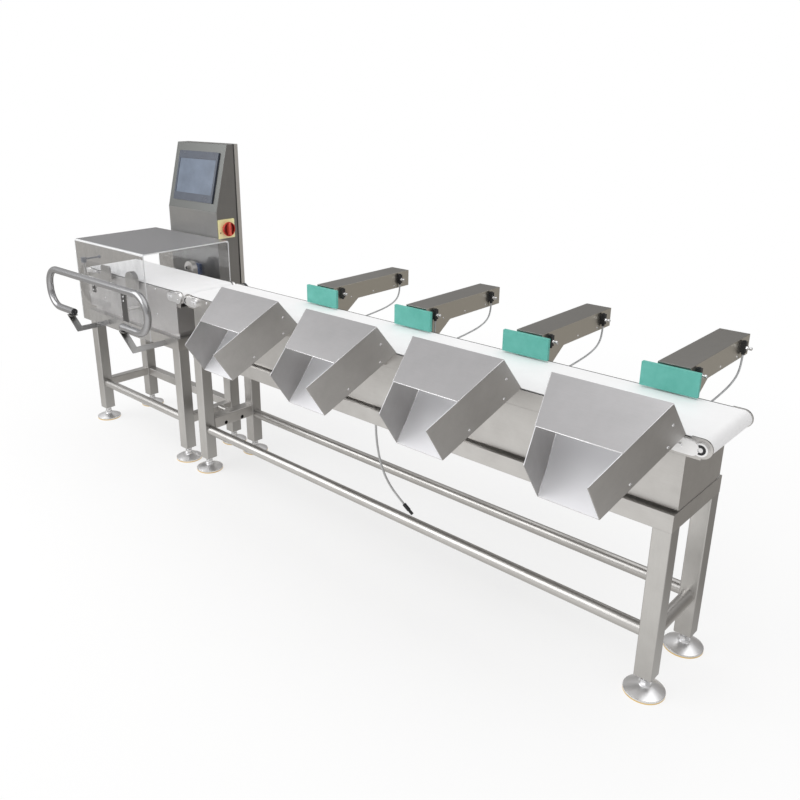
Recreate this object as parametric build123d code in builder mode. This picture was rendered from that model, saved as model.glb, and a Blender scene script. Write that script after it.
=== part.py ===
from build123d import *
import os
from math import atan2, cos, degrees, hypot, radians, sin, tan

os.makedirs("parts", exist_ok=True)

# Sizes in millimetres. X runs from the infeed to the outfeed, Y away from the chute side, Z up.
# Stations along X are counted from the outfeed end of the sorting frame, offsets along Y from the
# middle of the belts.

# Reach of the pushers beyond the middle of the belt
pusher_reach = 560.0

# Frames of welded square tube
frame_width = 300.0
frame_tube = 50.0
tube_wall = 2.0
tube_corner = 4.0
weld_gap = 0.15
sorter_length = 2000.0
sorter_top = 550.0
weigh_length = 740.0
weigh_top = 555.0
frame_gap = 103.0
leg_bottom = 56.0
leg_plate = 8.0
round_stretcher = 38.0
stretcher_height = 185.0
beam_height = 208.0
beam_hole_pitch = 86.0
beam_hole = 16.0
beam_hole_drop = 13.0
spacer_diameter = 26.0
small_stretcher = 38.0
arm_tube = 40.0

# Levelling feet
foot_diameter = 110.0
pad_height = 5.0
foot_rim = 4.0
hub_diameter = 34.0
hub_top = 30.0
spindle_diameter = 16.0
spindle_seat = 12.0
spindle_top = 110.0
nut_flats = 24.0
nut_height = 11.0

# Belt conveyors
belt_width = 250.0
belt_top = 755.0
belt_thickness = 2.0
belt_outer_radius = 23.5
belt_joint = 10.0
belt_overhang = 58.0
belt_left_overhang = 60.0
weigh_overhang = 22.0
roller_gap = 0.3
roller_end_gap = 2.0
shaft_diameter = 12.0
running_gap = 0.05
bed_sheet = 2.0
bed_inset = 5.0
bed_depth = 15.0
tie_height = 12.0
tie_width = 20.0
plate_thickness = 4.0
plate_drop = 3.0
plate_gap = 1.0
cheek_rim = 2.0
cheek_run = 27.0
bearing_thickness = 13.0
bearing_ring = 34.0
bearing_ring_thickness = 9.0
bearing_disc = 45.0
tongue_height = 36.0
tongue_start = 2.0
tongue_reach = 76.0
screw_flats = 11.0
screw_head = 4.0
screw_steps = (48.0, 64.0)

# Sorter housing
plinth_height = 6.0
housing_gap = 6.0
housing_sheet = 2.0
plinth_inset = 15.0
plinth_end_inset = 2.0
floor_flange = 40.0

# Belt drive
motor_inset = 120.0
motor_clearance = 30.0
motor_diameter = 96.0
motor_length = 130.0
gearbox_side = 84.0
gearbox_length = 56.0
drive_shaft = 14.0
pulley_radius = 20.0
pulley_width = 14.0
pulley_clearance = 3.0
drive_belt_thickness = 2.0

# Discharge chutes
chute_pitch = 448.0
first_chute = -157.0
chute_slope = 34.0
chute_depth = 130.0
chute_length = 284.0
chute_gap = 20.0
chute_lift = 11.0
chute_back_half = 158.0
chute_front_half = 81.0
chute_sheet = 2.0
chute_back_lean = 15.0
cover_front = 108.0
gusset_thickness = 4.0
gusset_spread = 96.0
gusset_run = 52.0
gusset_height = 44.0

# Pushers
pusher_stroke = 230.0
pusher_face = 108.0
pusher_plate_width = 160.0
pusher_plate_clearance = 5.0
pusher_plate_height = 68.0
pusher_plate_thickness = 10.0
pusher_box_width = 90.0
pusher_box_top = 830.0
pusher_box_bottom = 768.0
pusher_box_sheet = 2.0
pusher_foot_clearance = 4.0
pusher_foot_reach = 42.0
pusher_foot_end = 132.0
cylinder_rail = 12.0
cylinder_side = 40.0
cylinder_start = 150.0
cylinder_end = 518.0
cylinder_bore = 32.0
cylinder_head = 14.0
piston_length = 16.0
piston_rod = 12.0
guide_rod = 8.0
guide_spread = 31.0
guide_drop = 12.0
slide_gap = 0.3
near_port = 170.0
far_port = 498.0
fitting_side = 14.0
fitting_height = 34.0
port_diameter = 8.0
hose_diameter = 6.0
hose_entry_drop = 26.0
return_hose_rise = 18.0
hose_overrun = 10.0
fitting_collar = 6.0

# Weighing unit
base_sheet = 2.0
base_plinth = 20.0
base_drop = 4.0
base_gap = 1.0
base_notch_gap = 1.0
base_end_gap = 24.0
base_inset = 16.0
cell_length = 150.0
cell_width = 40.0
cell_height = 40.0
cell_spacer = 10.0
cell_hole = 24.0
platform_clearance = 20.0
platform_sheet = 4.0

# Clear cover
cover_shift = -10.5
cover_length = 567.0
cover_half_width = 217.0
cover_bottom = 537.0
cover_top = 908.0
cover_sheet = 5.0
cover_corner = 10.0
strap_thickness = 4.0
small_bracket_inset = 127.0
small_bracket_width = 30.0
small_bracket_height = 44.0
small_bracket_drop = 26.0
small_bridge_drop = 21.0
strap_inset = 380.0
strap_width = 46.0
strap_height = 132.0
strap_drop = 28.0
strap_bridge_drop = 80.0
bracket_foot = 36.0

# Push bar in front of the weighing unit
handle_offset = -300.0
handle_diameter = 31.0
handle_wall = 2.0
handle_length = 861.0
handle_shift = -5.5
handle_top_line = 771.0
handle_low_line = 597.0
handle_low_rise = 12.0
handle_bend = 80.0
handle_left_run = 224.0
handle_right_run = 221.0
arm_sheet = 4.0
arm_drop = 57.0
arm_run = 71.0
arm_flange = 40.0
arm_low = 517.0
arm_clearance = 4.0

# Infeed clamp and photo eyes
clamp_inset = 43.0
clamp_offset = -168.0
clamp_post_diameter = 14.0
clamp_rise = 39.0
guide_station_inset = 209.5
guide_width = 81.0
guide_rise = 44.0
guide_corner = 14.0
guide_drop_below = 25.0
guide_low_end = 11.0
guide_climb = 12.0
guide_thickness = 6.0
guide_spacer = 17.0
lug_height = 10.0
clamp_hub = 24.0
clamp_lever_length = 78.0
clamp_lever_diameter = 8.0
eye_shift = 64.0
eye_radius = 35.0
eye_rise = 48.0
eye_overlap = 28.0
eye_thickness = 24.0
eye_stand_off = 7.0
eye_lens = 18.0
eye_lens_depth = 12.0

# Display tower
tower_width = 375.0
tower_shift = -8.5
tower_front = 230.0
tower_bend = 1019.0
tower_top = 1309.0
tower_top_front = 308.0
tower_back = 341.0
tower_sheet = 2.0
door_gap = 8.0
door_depth = 19.0
gap_inset = 8.0
hinge_radius = 7.0
hinge_pin = 6.0
hinge_length = 60.0
leaf_length = 50.0
tab_length = 18.0
tab_gap = 2.0
hinge_heights = (700.0, 1170.0)
screen_width = 300.0
screen_height = 226.0
screen_start = 36.0
screen_thickness = 7.0
switch_plate_width = 90.0
switch_plate_height = 85.0
switch_plate_thickness = 3.0
switch_offset = 279.0
switch_height = 943.0
knob_diameter = 64.0
knob_depth = 42.0
knob_stem = 10.0
connector_width = 70.0
connector_height = 50.0
connector_depth = 12.5
connector_shift = 14.5
connector_middle = 745.0

# Signal cable that hangs under the sorter
cable_diameter = 8.0
cable_inset = 881.0
cable_plug_diameter = 14.0
cable_plug_length = 46.0

# Heights that follow from the belt and the frames
slope = radians(chute_slope)
belt_bottom = belt_top - 2 * belt_outer_radius
belt_deck = belt_top - belt_thickness
roller_height = belt_top - belt_outer_radius
belt_inner_radius = belt_outer_radius - belt_thickness
roller_radius = belt_inner_radius - roller_gap
bed_flange_bottom = belt_deck - bed_depth
plate_top = belt_top - plate_drop
housing_bottom = sorter_top + plinth_height
housing_top = belt_bottom - housing_gap
motor_height = housing_bottom + housing_sheet + motor_clearance + motor_diameter / 2
base_bottom = weigh_top + base_plinth
base_side_top = belt_top - base_drop
base_end_top = belt_bottom - base_end_gap
platform_bottom = belt_bottom - platform_clearance
arm_top = cover_bottom - arm_clearance
pusher_plate_bottom = belt_top + pusher_plate_clearance
pusher_foot_bottom = housing_top + pusher_foot_clearance
pusher_axis_height = pusher_box_top - pusher_box_sheet - cylinder_rail - cylinder_side / 2
hose_entry_height = housing_top - hose_entry_drop
return_entry_height = hose_entry_height + return_hose_rise
clamp_post_top = base_side_top + clamp_rise
eye_top = base_side_top + eye_rise
eye_bottom = base_side_top - eye_overlap

# Offsets across the line
spindle_hole = spindle_diameter + 2 * running_gap
half_width = frame_width / 2
leg_row = half_width - frame_tube / 2
plate_inner = belt_width / 2 + plate_gap
plate_outer = plate_inner + plate_thickness
housing_width = 2 * plate_outer
cheek_radius = belt_outer_radius + cheek_rim
shaft_end = plate_outer + bearing_ring_thickness + 1
pulley_offset = plate_outer + bearing_thickness + screw_head + pulley_clearance
pusher_box_start = plate_outer
base_half = plate_outer + base_gap + base_sheet
hose_side = pusher_box_width / 2 + fitting_side / 2
chute_back_y = -plate_outer - chute_gap
chute_back_z = belt_top + chute_lift
front_bottom_y = chute_back_y - chute_length * cos(slope)
front_bottom_z = chute_back_z - chute_length * sin(slope)
chute_reach = chute_depth * sin(slope) - front_bottom_y

# Stations along the line
sorter_left = -sorter_length
weigh_right = sorter_left - frame_gap
weigh_left = weigh_right - weigh_length
sorter_leg_stations = (sorter_left + frame_tube / 2, -frame_tube / 2)
weigh_leg_stations = (weigh_left + frame_tube / 2, weigh_right - frame_tube / 2)
base_left = weigh_left
base_right = weigh_right - base_inset
base_middle = (base_left + base_right) / 2
base_length = base_right - base_left
sorter_right_axis = belt_overhang - belt_outer_radius
sorter_left_axis = sorter_left - belt_left_overhang + belt_outer_radius
weigh_right_axis = sorter_left_axis - 2 * belt_outer_radius - belt_joint
weigh_left_axis = base_left - weigh_overhang + belt_outer_radius
chute_stations = [first_chute - chute_pitch * k for k in range(3, -1, -1)]
motor_station = sorter_left + motor_inset
cable_station = sorter_left + cable_inset
cover_left = base_middle + cover_shift - cover_length / 2
handle_radius = handle_diameter / 2
handle_left = base_middle + handle_shift - handle_length / 2
handle_right = handle_left + handle_length
handle_left_end = handle_left + handle_left_run
handle_right_end = handle_right - handle_right_run
clamp_station = base_left + clamp_inset
eye_station = base_middle + eye_shift
tower_centre = base_middle + tower_shift
connector_station = tower_centre + connector_shift

# The origin is the middle of the floor rectangle under the line
line_x = -(belt_overhang + cheek_rim + handle_left) / 2
line_y = (chute_reach - pusher_reach) / 2


# Work planes of the line
def level(height):
    return Plane(origin=(line_x, line_y, height))


def side(offset):
    return Plane(origin=(line_x, line_y + offset, 0), x_dir=(1, 0, 0), z_dir=(0, -1, 0))


def cross(station):
    return Plane(origin=(line_x + station, line_y, 0), x_dir=(0, 1, 0), z_dir=(1, 0, 0))


# Shapes used by several pieces
def square_tube(plane, centre, length, size=frame_tube):
    with BuildSketch(plane) as section:
        with Locations(centre):
            RectangleRounded(size, size, tube_corner)
            RectangleRounded(
                size - 2 * tube_wall, size - 2 * tube_wall, tube_corner - tube_wall, mode=Mode.SUBTRACT
            )
    extrude(section.sketch, amount=length)


def round_tube(plane, centre, diameter, length, wall):
    with BuildSketch(plane) as section:
        with Locations(centre):
            Circle(diameter / 2)
            Circle(diameter / 2 - wall, mode=Mode.SUBTRACT)
    extrude(section.sketch, amount=length)


def rod(plane, centre, diameter, length, mode=Mode.ADD):
    with BuildSketch(plane) as section:
        with Locations(centre):
            Circle(diameter / 2)
    extrude(section.sketch, amount=length, mode=mode)


def block(plane, centre, width, height, depth, mode=Mode.ADD, corner=0.0):
    with BuildSketch(plane) as section:
        with Locations(centre):
            if corner:
                RectangleRounded(width, height, corner)
            else:
                Rectangle(width, height)
    extrude(section.sketch, amount=depth, mode=mode)


def plate(plane, points, depth, mode=Mode.ADD):
    with BuildSketch(plane) as section:
        with BuildLine():
            Polyline(*points, close=True)
        make_face()
    extrude(section.sketch, amount=depth, mode=mode)


def hexagon(plane, centre, flats, depth):
    with BuildSketch(plane) as section:
        with Locations(centre):
            RegularPolygon(flats / 2, 6, major_radius=False)
    extrude(section.sketch, amount=depth)


def leg_set(stations, top):
    for x in stations:
        for y in (-leg_row, leg_row):
            bore = frame_tube - 2 * tube_wall
            square_tube(level(leg_bottom), (x, y), top - frame_tube - leg_bottom)
            block(level(leg_bottom), (x, y), bore, bore, leg_plate)
            rod(level(leg_bottom), (x, y), spindle_hole, leg_plate, Mode.SUBTRACT)


def mitred_rail(top, start, end):
    # A square tube between two corners, its ends cut at 45 degrees
    length = hypot(end[0] - start[0], end[1] - start[1])
    corner = Plane(
        origin=(line_x + start[0], line_y + start[1], top - frame_tube),
        x_dir=(end[0] - start[0], end[1] - start[1], 0),
        z_dir=(0, 0, 1),
    )

    def outline(near, far):
        return [
            (near + weld_gap, near),
            (length - near - weld_gap, near),
            (length - far - weld_gap, far),
            (far + weld_gap, far),
        ]

    plate(corner, outline(0, frame_tube), frame_tube)
    plate(
        corner.offset(tube_wall),
        outline(tube_wall, frame_tube - tube_wall),
        frame_tube - 2 * tube_wall,
        Mode.SUBTRACT,
    )


def ring_frame(left, right, top):
    corners = [
        (left, -half_width),
        (right, -half_width),
        (right, half_width),
        (left, half_width),
    ]
    for number in range(4):
        mitred_rail(top, corners[number], corners[(number + 1) % 4])


# Legs of the sorting frame
with BuildPart() as sorter_legs:
    leg_set(sorter_leg_stations, sorter_top)
sorter_legs.part.label = "sorter_legs"
export_step(sorter_legs.part, "parts/sorter_legs.step")

# Legs of the weighing frame
with BuildPart() as weigh_legs:
    leg_set(weigh_leg_stations, weigh_top)
weigh_legs.part.label = "weigh_legs"
export_step(weigh_legs.part, "parts/weigh_legs.step")


# Levelling feet: rubber pad, domed disc, threaded spindle with its nuts
foot_places = [
    (line_x + x, line_y + y, 0)
    for x in sorter_leg_stations + weigh_leg_stations
    for y in (-leg_row, leg_row)
]

with BuildPart() as one_pad:
    Cylinder(foot_diameter / 2 - 2, pad_height, align=(Align.CENTER, Align.CENTER, Align.MIN))
    fillet(one_pad.edges().group_by(Axis.Z)[0], 1.5)

with BuildPart() as one_disc:
    with BuildSketch(Plane.XZ):
        with BuildLine():
            rim = Polyline(
                (spindle_hole / 2, spindle_seat), (0, spindle_seat), (0, pad_height),
                (foot_diameter / 2, pad_height), (foot_diameter / 2, pad_height + foot_rim),
            )
            dome = ThreePointArc(
                rim @ 1,
                (foot_diameter / 2 - 19, pad_height + foot_rim + 9),
                (hub_diameter / 2, hub_top - 6),
            )
            Polyline(dome @ 1, (hub_diameter / 2, hub_top), (spindle_hole / 2, hub_top), rim @ 0)
        make_face()
    revolve(axis=Axis.Z)

with BuildPart() as one_spindle:
    rod(Plane.XY.offset(spindle_seat), (0, 0), spindle_diameter, spindle_top - spindle_seat)
    hexagon(Plane.XY.offset(hub_top), (0, 0), nut_flats, nut_height)
    hexagon(Plane.XY.offset(leg_bottom - nut_height), (0, 0), nut_flats, nut_height)

with BuildPart() as levelling_foot_pads:
    with Locations(*foot_places):
        add(one_pad.part)
levelling_foot_pads.part.label = "levelling_foot_pads"
export_step(levelling_foot_pads.part, "parts/levelling_foot_pads.step")

with BuildPart() as levelling_foot_discs:
    with Locations(*foot_places):
        add(one_disc.part)
levelling_foot_discs.part.label = "levelling_foot_discs"
export_step(levelling_foot_discs.part, "parts/levelling_foot_discs.step")

with BuildPart() as levelling_foot_spindles:
    with Locations(*foot_places):
        add(one_spindle.part)
levelling_foot_spindles.part.label = "levelling_foot_spindles"
export_step(levelling_foot_spindles.part, "parts/levelling_foot_spindles.step")

# Top rails of the sorting frame, mitred at the corners
with BuildPart() as sorter_top_rails:
    ring_frame(sorter_left, 0, sorter_top)
sorter_top_rails.part.label = "sorter_top_rails"
export_step(sorter_top_rails.part, "parts/sorter_top_rails.step")

# Top rails of the weighing frame and the two arms that carry the tower
arm_stations = (tower_centre - tower_width / 2 + 60, tower_centre + tower_width / 2 - 60)
with BuildPart() as weigh_top_rails:
    ring_frame(weigh_left, weigh_right, weigh_top)
    for x in arm_stations:
        square_tube(
            side(tower_back),
            (x, arm_top - arm_tube / 2),
            tower_back - half_width - weld_gap,
            arm_tube,
        )
weigh_top_rails.part.label = "weigh_top_rails"
export_step(weigh_top_rails.part, "parts/weigh_top_rails.step")

# Stretchers between the legs, near the floor
with BuildPart() as lower_stretchers:
    clear = leg_row - frame_tube / 2
    long_run = sorter_length - 2 * frame_tube
    for y in (-leg_row, leg_row):
        round_tube(
            cross(sorter_left + frame_tube), (y, stretcher_height), round_stretcher, long_run, tube_wall
        )
    round_tube(
        side(clear), (sorter_leg_stations[1], stretcher_height), round_stretcher, 2 * clear, tube_wall
    )
    square_tube(side(clear), (sorter_leg_stations[0], beam_height), 2 * clear)
    for y in (-beam_hole_pitch / 2, beam_hole_pitch / 2):
        rod(
            cross(sorter_leg_stations[0]),
            (y, beam_height - beam_hole_drop),
            beam_hole,
            frame_tube,
            Mode.SUBTRACT,
        )
    # Spacer tubes behind the beam's holes tie the two frames together
    gap_left = weigh_leg_stations[1] + small_stretcher / 2
    for y in (-beam_hole_pitch / 2, beam_hole_pitch / 2):
        with BuildSketch(cross(gap_left + weld_gap)) as spacer:
            with Locations((y, beam_height - beam_hole_drop)):
                Circle(spacer_diameter / 2)
                Circle(beam_hole / 2, mode=Mode.SUBTRACT)
        extrude(spacer.sketch, amount=sorter_left - gap_left - 2 * weld_gap)
    short_run = weigh_length - 2 * frame_tube
    round_tube(
        cross(weigh_left + frame_tube), (-leg_row, stretcher_height), round_stretcher, short_run, tube_wall
    )
    square_tube(cross(weigh_left + frame_tube), (leg_row, stretcher_height), short_run, small_stretcher)
    for x in weigh_leg_stations:
        square_tube(side(clear), (x, stretcher_height), 2 * clear, small_stretcher)
lower_stretchers.part.label = "lower_stretchers"
export_step(lower_stretchers.part, "parts/lower_stretchers.step")

# Folded housing under the sorting belt, on an inset plinth
hose_entries = []
for x in chute_stations:
    hose_entries.append((x + hose_side, hose_entry_height))
hose_entries.append((chute_stations[1] + hose_side, return_entry_height))
with BuildPart() as sorter_housing:
    middle = -sorter_length / 2
    height = housing_top - housing_bottom
    block(level(housing_bottom), (middle, 0), sorter_length, housing_width, height)
    block(
        level(sorter_top),
        (middle, 0),
        sorter_length - 2 * plinth_end_inset,
        housing_width - 2 * plinth_inset,
        housing_bottom - sorter_top,
    )
    block(
        level(housing_bottom + housing_sheet),
        (middle, 0),
        sorter_length - 2 * housing_sheet,
        housing_width - 2 * housing_sheet,
        height - 2 * housing_sheet,
        Mode.SUBTRACT,
    )
    floor_half = housing_width / 2 - plinth_inset - floor_flange
    window_ends = [
        (sorter_left + plinth_inset + floor_flange, cable_station - 30),
        (cable_station + 30, -plinth_inset - floor_flange),
    ]
    for start, end in window_ends:
        block(
            level(sorter_top),
            ((start + end) / 2, 0),
            end - start,
            2 * floor_half,
            housing_bottom - sorter_top + housing_sheet,
            Mode.SUBTRACT,
        )
    rod(
        level(sorter_top),
        (cable_station, 0),
        cable_diameter,
        housing_bottom - sorter_top + housing_sheet,
        Mode.SUBTRACT,
    )
    for place in hose_entries:
        rod(side(housing_width / 2), place, hose_diameter, housing_sheet, Mode.SUBTRACT)
    rod(
        side(housing_width / 2),
        (motor_station, motor_height),
        drive_shaft + 8,
        housing_sheet,
        Mode.SUBTRACT,
    )
sorter_housing.part.label = "sorter_housing"
export_step(sorter_housing.part, "parts/sorter_housing.step")

# Slider beds inside the belt loops, folded down along both edges
bed_half = belt_width / 2 - bed_inset
bed_ends = [
    (sorter_left_axis + 26, sorter_right_axis - 26),
    (weigh_left_axis + 26, weigh_right_axis - 26),
]
with BuildPart() as belt_beds:
    for start, end in bed_ends:
        profile = [
            (-bed_half, bed_flange_bottom),
            (-bed_half, belt_deck),
            (bed_half, belt_deck),
            (bed_half, bed_flange_bottom),
            (bed_half - bed_sheet, bed_flange_bottom),
            (bed_half - bed_sheet, belt_deck - bed_sheet),
            (-bed_half + bed_sheet, belt_deck - bed_sheet),
            (-bed_half + bed_sheet, bed_flange_bottom),
        ]
        plate(cross(start), profile, end - start)
belt_beds.part.label = "belt_beds"
export_step(belt_beds.part, "parts/belt_beds.step")

# Side plates beside each belt, their rounded ends proud of the belt, with flat ties under the bed
with BuildPart() as conveyor_side_plates:
    plate_ends = [
        (sorter_left_axis, sorter_right_axis, housing_top, 5),
        (weigh_left_axis, weigh_right_axis, platform_bottom, 3),
    ]
    for start, end, bottom, ties in plate_ends:
        length = end - start
        for y in (-plate_inner, plate_outer):
            with BuildSketch(side(y)) as outline:
                with Locations(((start + end) / 2, (bottom + plate_top) / 2)):
                    Rectangle(length, plate_top - bottom)
                for axis_station, inward in ((start, 1), (end, -1)):
                    with Locations((axis_station, roller_height)):
                        Circle(cheek_radius)
                    with Locations((axis_station + inward * cheek_run / 2, roller_height)):
                        Rectangle(cheek_run, 2 * cheek_radius)
                with Locations((start, roller_height), (end, roller_height)):
                    Circle(shaft_diameter / 2 + running_gap, mode=Mode.SUBTRACT)
            extrude(outline.sketch, amount=plate_thickness)
        for number in range(ties):
            x = start + length * (number + 0.5) / ties
            block(
                side(plate_inner),
                (x, bed_flange_bottom - tie_height / 2),
                tie_width,
                tie_height,
                2 * plate_inner,
            )
    block(
        level(platform_bottom),
        ((base_left + base_right) / 2, 0),
        cell_length + 60,
        2 * plate_inner,
        platform_sheet,
    )
conveyor_side_plates.part.label = "conveyor_side_plates"
export_step(conveyor_side_plates.part, "parts/conveyor_side_plates.step")


# Endless belts
def belt_loop(left_axis, right_axis):
    with BuildSketch(side(belt_width / 2)) as section:
        with Locations(((left_axis + right_axis) / 2, roller_height)):
            SlotCenterToCenter(right_axis - left_axis, 2 * belt_outer_radius)
            SlotCenterToCenter(right_axis - left_axis, 2 * belt_inner_radius, mode=Mode.SUBTRACT)
    extrude(section.sketch, amount=belt_width)


with BuildPart() as sorter_belt:
    belt_loop(sorter_left_axis, sorter_right_axis)
sorter_belt.part.label = "sorter_belt"
export_step(sorter_belt.part, "parts/sorter_belt.step")

with BuildPart() as weigh_belt:
    belt_loop(weigh_left_axis, weigh_right_axis)
weigh_belt.part.label = "weigh_belt"
export_step(weigh_belt.part, "parts/weigh_belt.step")


# Rollers at the belt ends, each with its shaft
def roller(axis_station, far_end):
    face = belt_width - 2 * roller_end_gap
    rod(side(face / 2), (axis_station, roller_height), 2 * roller_radius, face)
    rod(side(far_end), (axis_station, roller_height), shaft_diameter, far_end + shaft_end)


with BuildPart() as sorter_tail_roller:
    roller(sorter_right_axis, shaft_end)
sorter_tail_roller.part.label = "sorter_tail_roller"
export_step(sorter_tail_roller.part, "parts/sorter_tail_roller.step")

# The driven roller carries a toothed pulley outside the far bearing
with BuildPart() as sorter_drive_roller:
    roller(sorter_left_axis, pulley_offset + pulley_width)
    rod(
        side(pulley_offset + pulley_width),
        (sorter_left_axis, roller_height),
        2 * pulley_radius,
        pulley_width,
    )
sorter_drive_roller.part.label = "sorter_drive_roller"
export_step(sorter_drive_roller.part, "parts/sorter_drive_roller.step")

with BuildPart() as weigh_drive_roller:
    roller(weigh_right_axis, shaft_end)
weigh_drive_roller.part.label = "weigh_drive_roller"
export_step(weigh_drive_roller.part, "parts/weigh_drive_roller.step")

with BuildPart() as weigh_tail_roller:
    roller(weigh_left_axis, shaft_end)
weigh_tail_roller.part.label = "weigh_tail_roller"
export_step(weigh_tail_roller.part, "parts/weigh_tail_roller.step")

# Roller bearings: rings with a round-ended tongue on the sorter, discs with an arm on the weigh belt
bearing_ends = [
    (sorter_left_axis, 1, False),
    (sorter_right_axis, -1, False),
    (weigh_left_axis, 1, True),
    (weigh_right_axis, -1, True),
]
with BuildPart() as roller_bearing_blocks:
    for axis_station, inward, disc in bearing_ends:
        axis_place = (axis_station, roller_height)
        tongue_length = tongue_reach - tongue_start - tongue_height
        tongue_middle = axis_station + inward * (tongue_reach + tongue_start) / 2
        for facing in (-1, 1):
            back = side(-plate_outer) if facing < 0 else side(plate_outer + bearing_thickness)
            with BuildSketch(back) as section:
                with Locations((tongue_middle, roller_height)):
                    SlotCenterToCenter(tongue_length, tongue_height)
                if disc:
                    with Locations(axis_place):
                        Circle(bearing_disc / 2)
            extrude(section.sketch, amount=bearing_thickness)
            if not disc:
                ring = side(-plate_outer) if facing < 0 else side(plate_outer + bearing_ring_thickness)
                rod(ring, axis_place, bearing_ring, bearing_ring_thickness)
            rod(back, axis_place, shaft_diameter + 2 * running_gap, bearing_thickness, Mode.SUBTRACT)
            face = side(-plate_outer - bearing_thickness)
            if facing > 0:
                face = side(plate_outer + bearing_thickness + screw_head)
            for step in screw_steps:
                hexagon(face, (axis_station + inward * step, roller_height), screw_flats, screw_head)
roller_bearing_blocks.part.label = "roller_bearing_blocks"
export_step(roller_bearing_blocks.part, "parts/roller_bearing_blocks.step")

# Gear motor hung inside the sorter housing
motor_end = housing_width / 2 - 30
with BuildPart() as sorter_drive_motor:
    rod(side(motor_end - gearbox_length), (motor_station, motor_height), motor_diameter, motor_length)
    block(
        side(motor_end),
        (motor_station, motor_height),
        gearbox_side,
        gearbox_side,
        gearbox_length,
        corner=8.0,
    )
    block(
        level(motor_height + gearbox_side / 2),
        (motor_station, motor_end - gearbox_length / 2),
        gearbox_side - 20,
        gearbox_length - 16,
        housing_top - housing_sheet - motor_height - gearbox_side / 2,
    )
    rod(
        side(motor_end),
        (motor_station, motor_height),
        drive_shaft + 2 * running_gap,
        gearbox_length - 10,
        Mode.SUBTRACT,
    )
sorter_drive_motor.part.label = "sorter_drive_motor"
export_step(sorter_drive_motor.part, "parts/sorter_drive_motor.step")

with BuildPart() as motor_pulley:
    far = pulley_offset + pulley_width
    rod(
        side(far),
        (motor_station, motor_height),
        drive_shaft,
        far - motor_end + gearbox_length - 14,
    )
    rod(side(far), (motor_station, motor_height), 2 * pulley_radius, pulley_width)
motor_pulley.part.label = "motor_pulley"
export_step(motor_pulley.part, "parts/motor_pulley.step")

# Toothed belt from the motor pulley up to the driven roller
with BuildPart() as drive_belt:
    rise = roller_height - motor_height
    run = sorter_left_axis - motor_station
    inner = 2 * (pulley_radius + roller_gap)
    with BuildSketch(side(pulley_offset + pulley_width - 1)):
        with Locations((motor_station + run / 2, motor_height + rise / 2)):
            SlotCenterToCenter(hypot(run, rise), inner + 2 * drive_belt_thickness,
                               rotation=degrees(atan2(rise, run)))
            SlotCenterToCenter(hypot(run, rise), inner, rotation=degrees(atan2(rise, run)),
                               mode=Mode.SUBTRACT)
    extrude(amount=pulley_width - 2)
drive_belt.part.label = "drive_belt"
export_step(drive_belt.part, "parts/drive_belt.step")


# Discharge chutes: a tapering folded tray, square to its slope
def slope_plane(station, lift=0.0):
    # Lies in the tray floor: local x along X, local y up the slope
    return Plane(
        origin=(line_x + station, line_y + front_bottom_y, front_bottom_z),
        x_dir=(1, 0, 0),
        z_dir=(0, -sin(slope), cos(slope)),
    ).offset(lift)


def slope_side(station):
    # Stands on edge along the slope: local x up the slope, local y square to it
    return Plane(
        origin=(line_x + station, line_y + front_bottom_y, front_bottom_z),
        x_dir=(0, cos(slope), sin(slope)),
        z_dir=(1, 0, 0),
    )


def tray_half(distance):
    return chute_front_half + (chute_back_half - chute_front_half) * distance / chute_length


def tapered(start, end, inset):
    return [
        (-tray_half(start) + inset, start),
        (tray_half(start) - inset, start),
        (tray_half(end) - inset, end),
        (-tray_half(end) + inset, end),
    ]


def chute_tray(station):
    plate(slope_plane(station), tapered(0, chute_length, 0), chute_depth)
    plate(
        slope_plane(station, chute_sheet),
        tapered(-20, chute_length + 20, chute_sheet),
        chute_depth,
        Mode.SUBTRACT,
    )
    # The back edges of the side panels lean towards the front
    lean = [
        (chute_length, 0),
        (chute_length - chute_back_lean, chute_depth + 1),
        (chute_length + 40, chute_depth + 1),
        (chute_length + 40, 0),
    ]
    plate(slope_side(station - 200), lean, 400, Mode.SUBTRACT)


with BuildPart() as chute_tray_1:
    chute_tray(chute_stations[0])
chute_tray_1.part.label = "chute_tray_1"
export_step(chute_tray_1.part, "parts/chute_tray_1.step")

with BuildPart() as chute_tray_2:
    chute_tray(chute_stations[1])
chute_tray_2.part.label = "chute_tray_2"
export_step(chute_tray_2.part, "parts/chute_tray_2.step")

with BuildPart() as chute_tray_3:
    chute_tray(chute_stations[2])
chute_tray_3.part.label = "chute_tray_3"
export_step(chute_tray_3.part, "parts/chute_tray_3.step")

with BuildPart() as chute_tray_4:
    chute_tray(chute_stations[3])
chute_tray_4.part.label = "chute_tray_4"
export_step(chute_tray_4.part, "parts/chute_tray_4.step")

# Cover sheets over the upper part of the chutes
with BuildPart() as chute_covers:
    for x in chute_stations:
        plate(
            slope_plane(x, chute_depth),
            tapered(cover_front, chute_length - chute_back_lean, 0),
            chute_sheet,
        )
chute_covers.part.label = "chute_covers"
export_step(chute_covers.part, "parts/chute_covers.step")

# Gussets that carry the chutes on the sorter side plate
with BuildPart() as chute_brackets:
    profile = [
        (-plate_outer, plate_top - gusset_height),
        (-plate_outer, plate_top),
        (chute_back_y, chute_back_z),
        (chute_back_y - gusset_run, chute_back_z - gusset_run * tan(slope)),
    ]
    for x in chute_stations:
        for spread in (-gusset_spread, gusset_spread):
            plate(cross(x + spread - gusset_thickness / 2), profile, gusset_thickness)
chute_brackets.part.label = "chute_brackets"
export_step(chute_brackets.part, "parts/chute_brackets.step")


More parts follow.
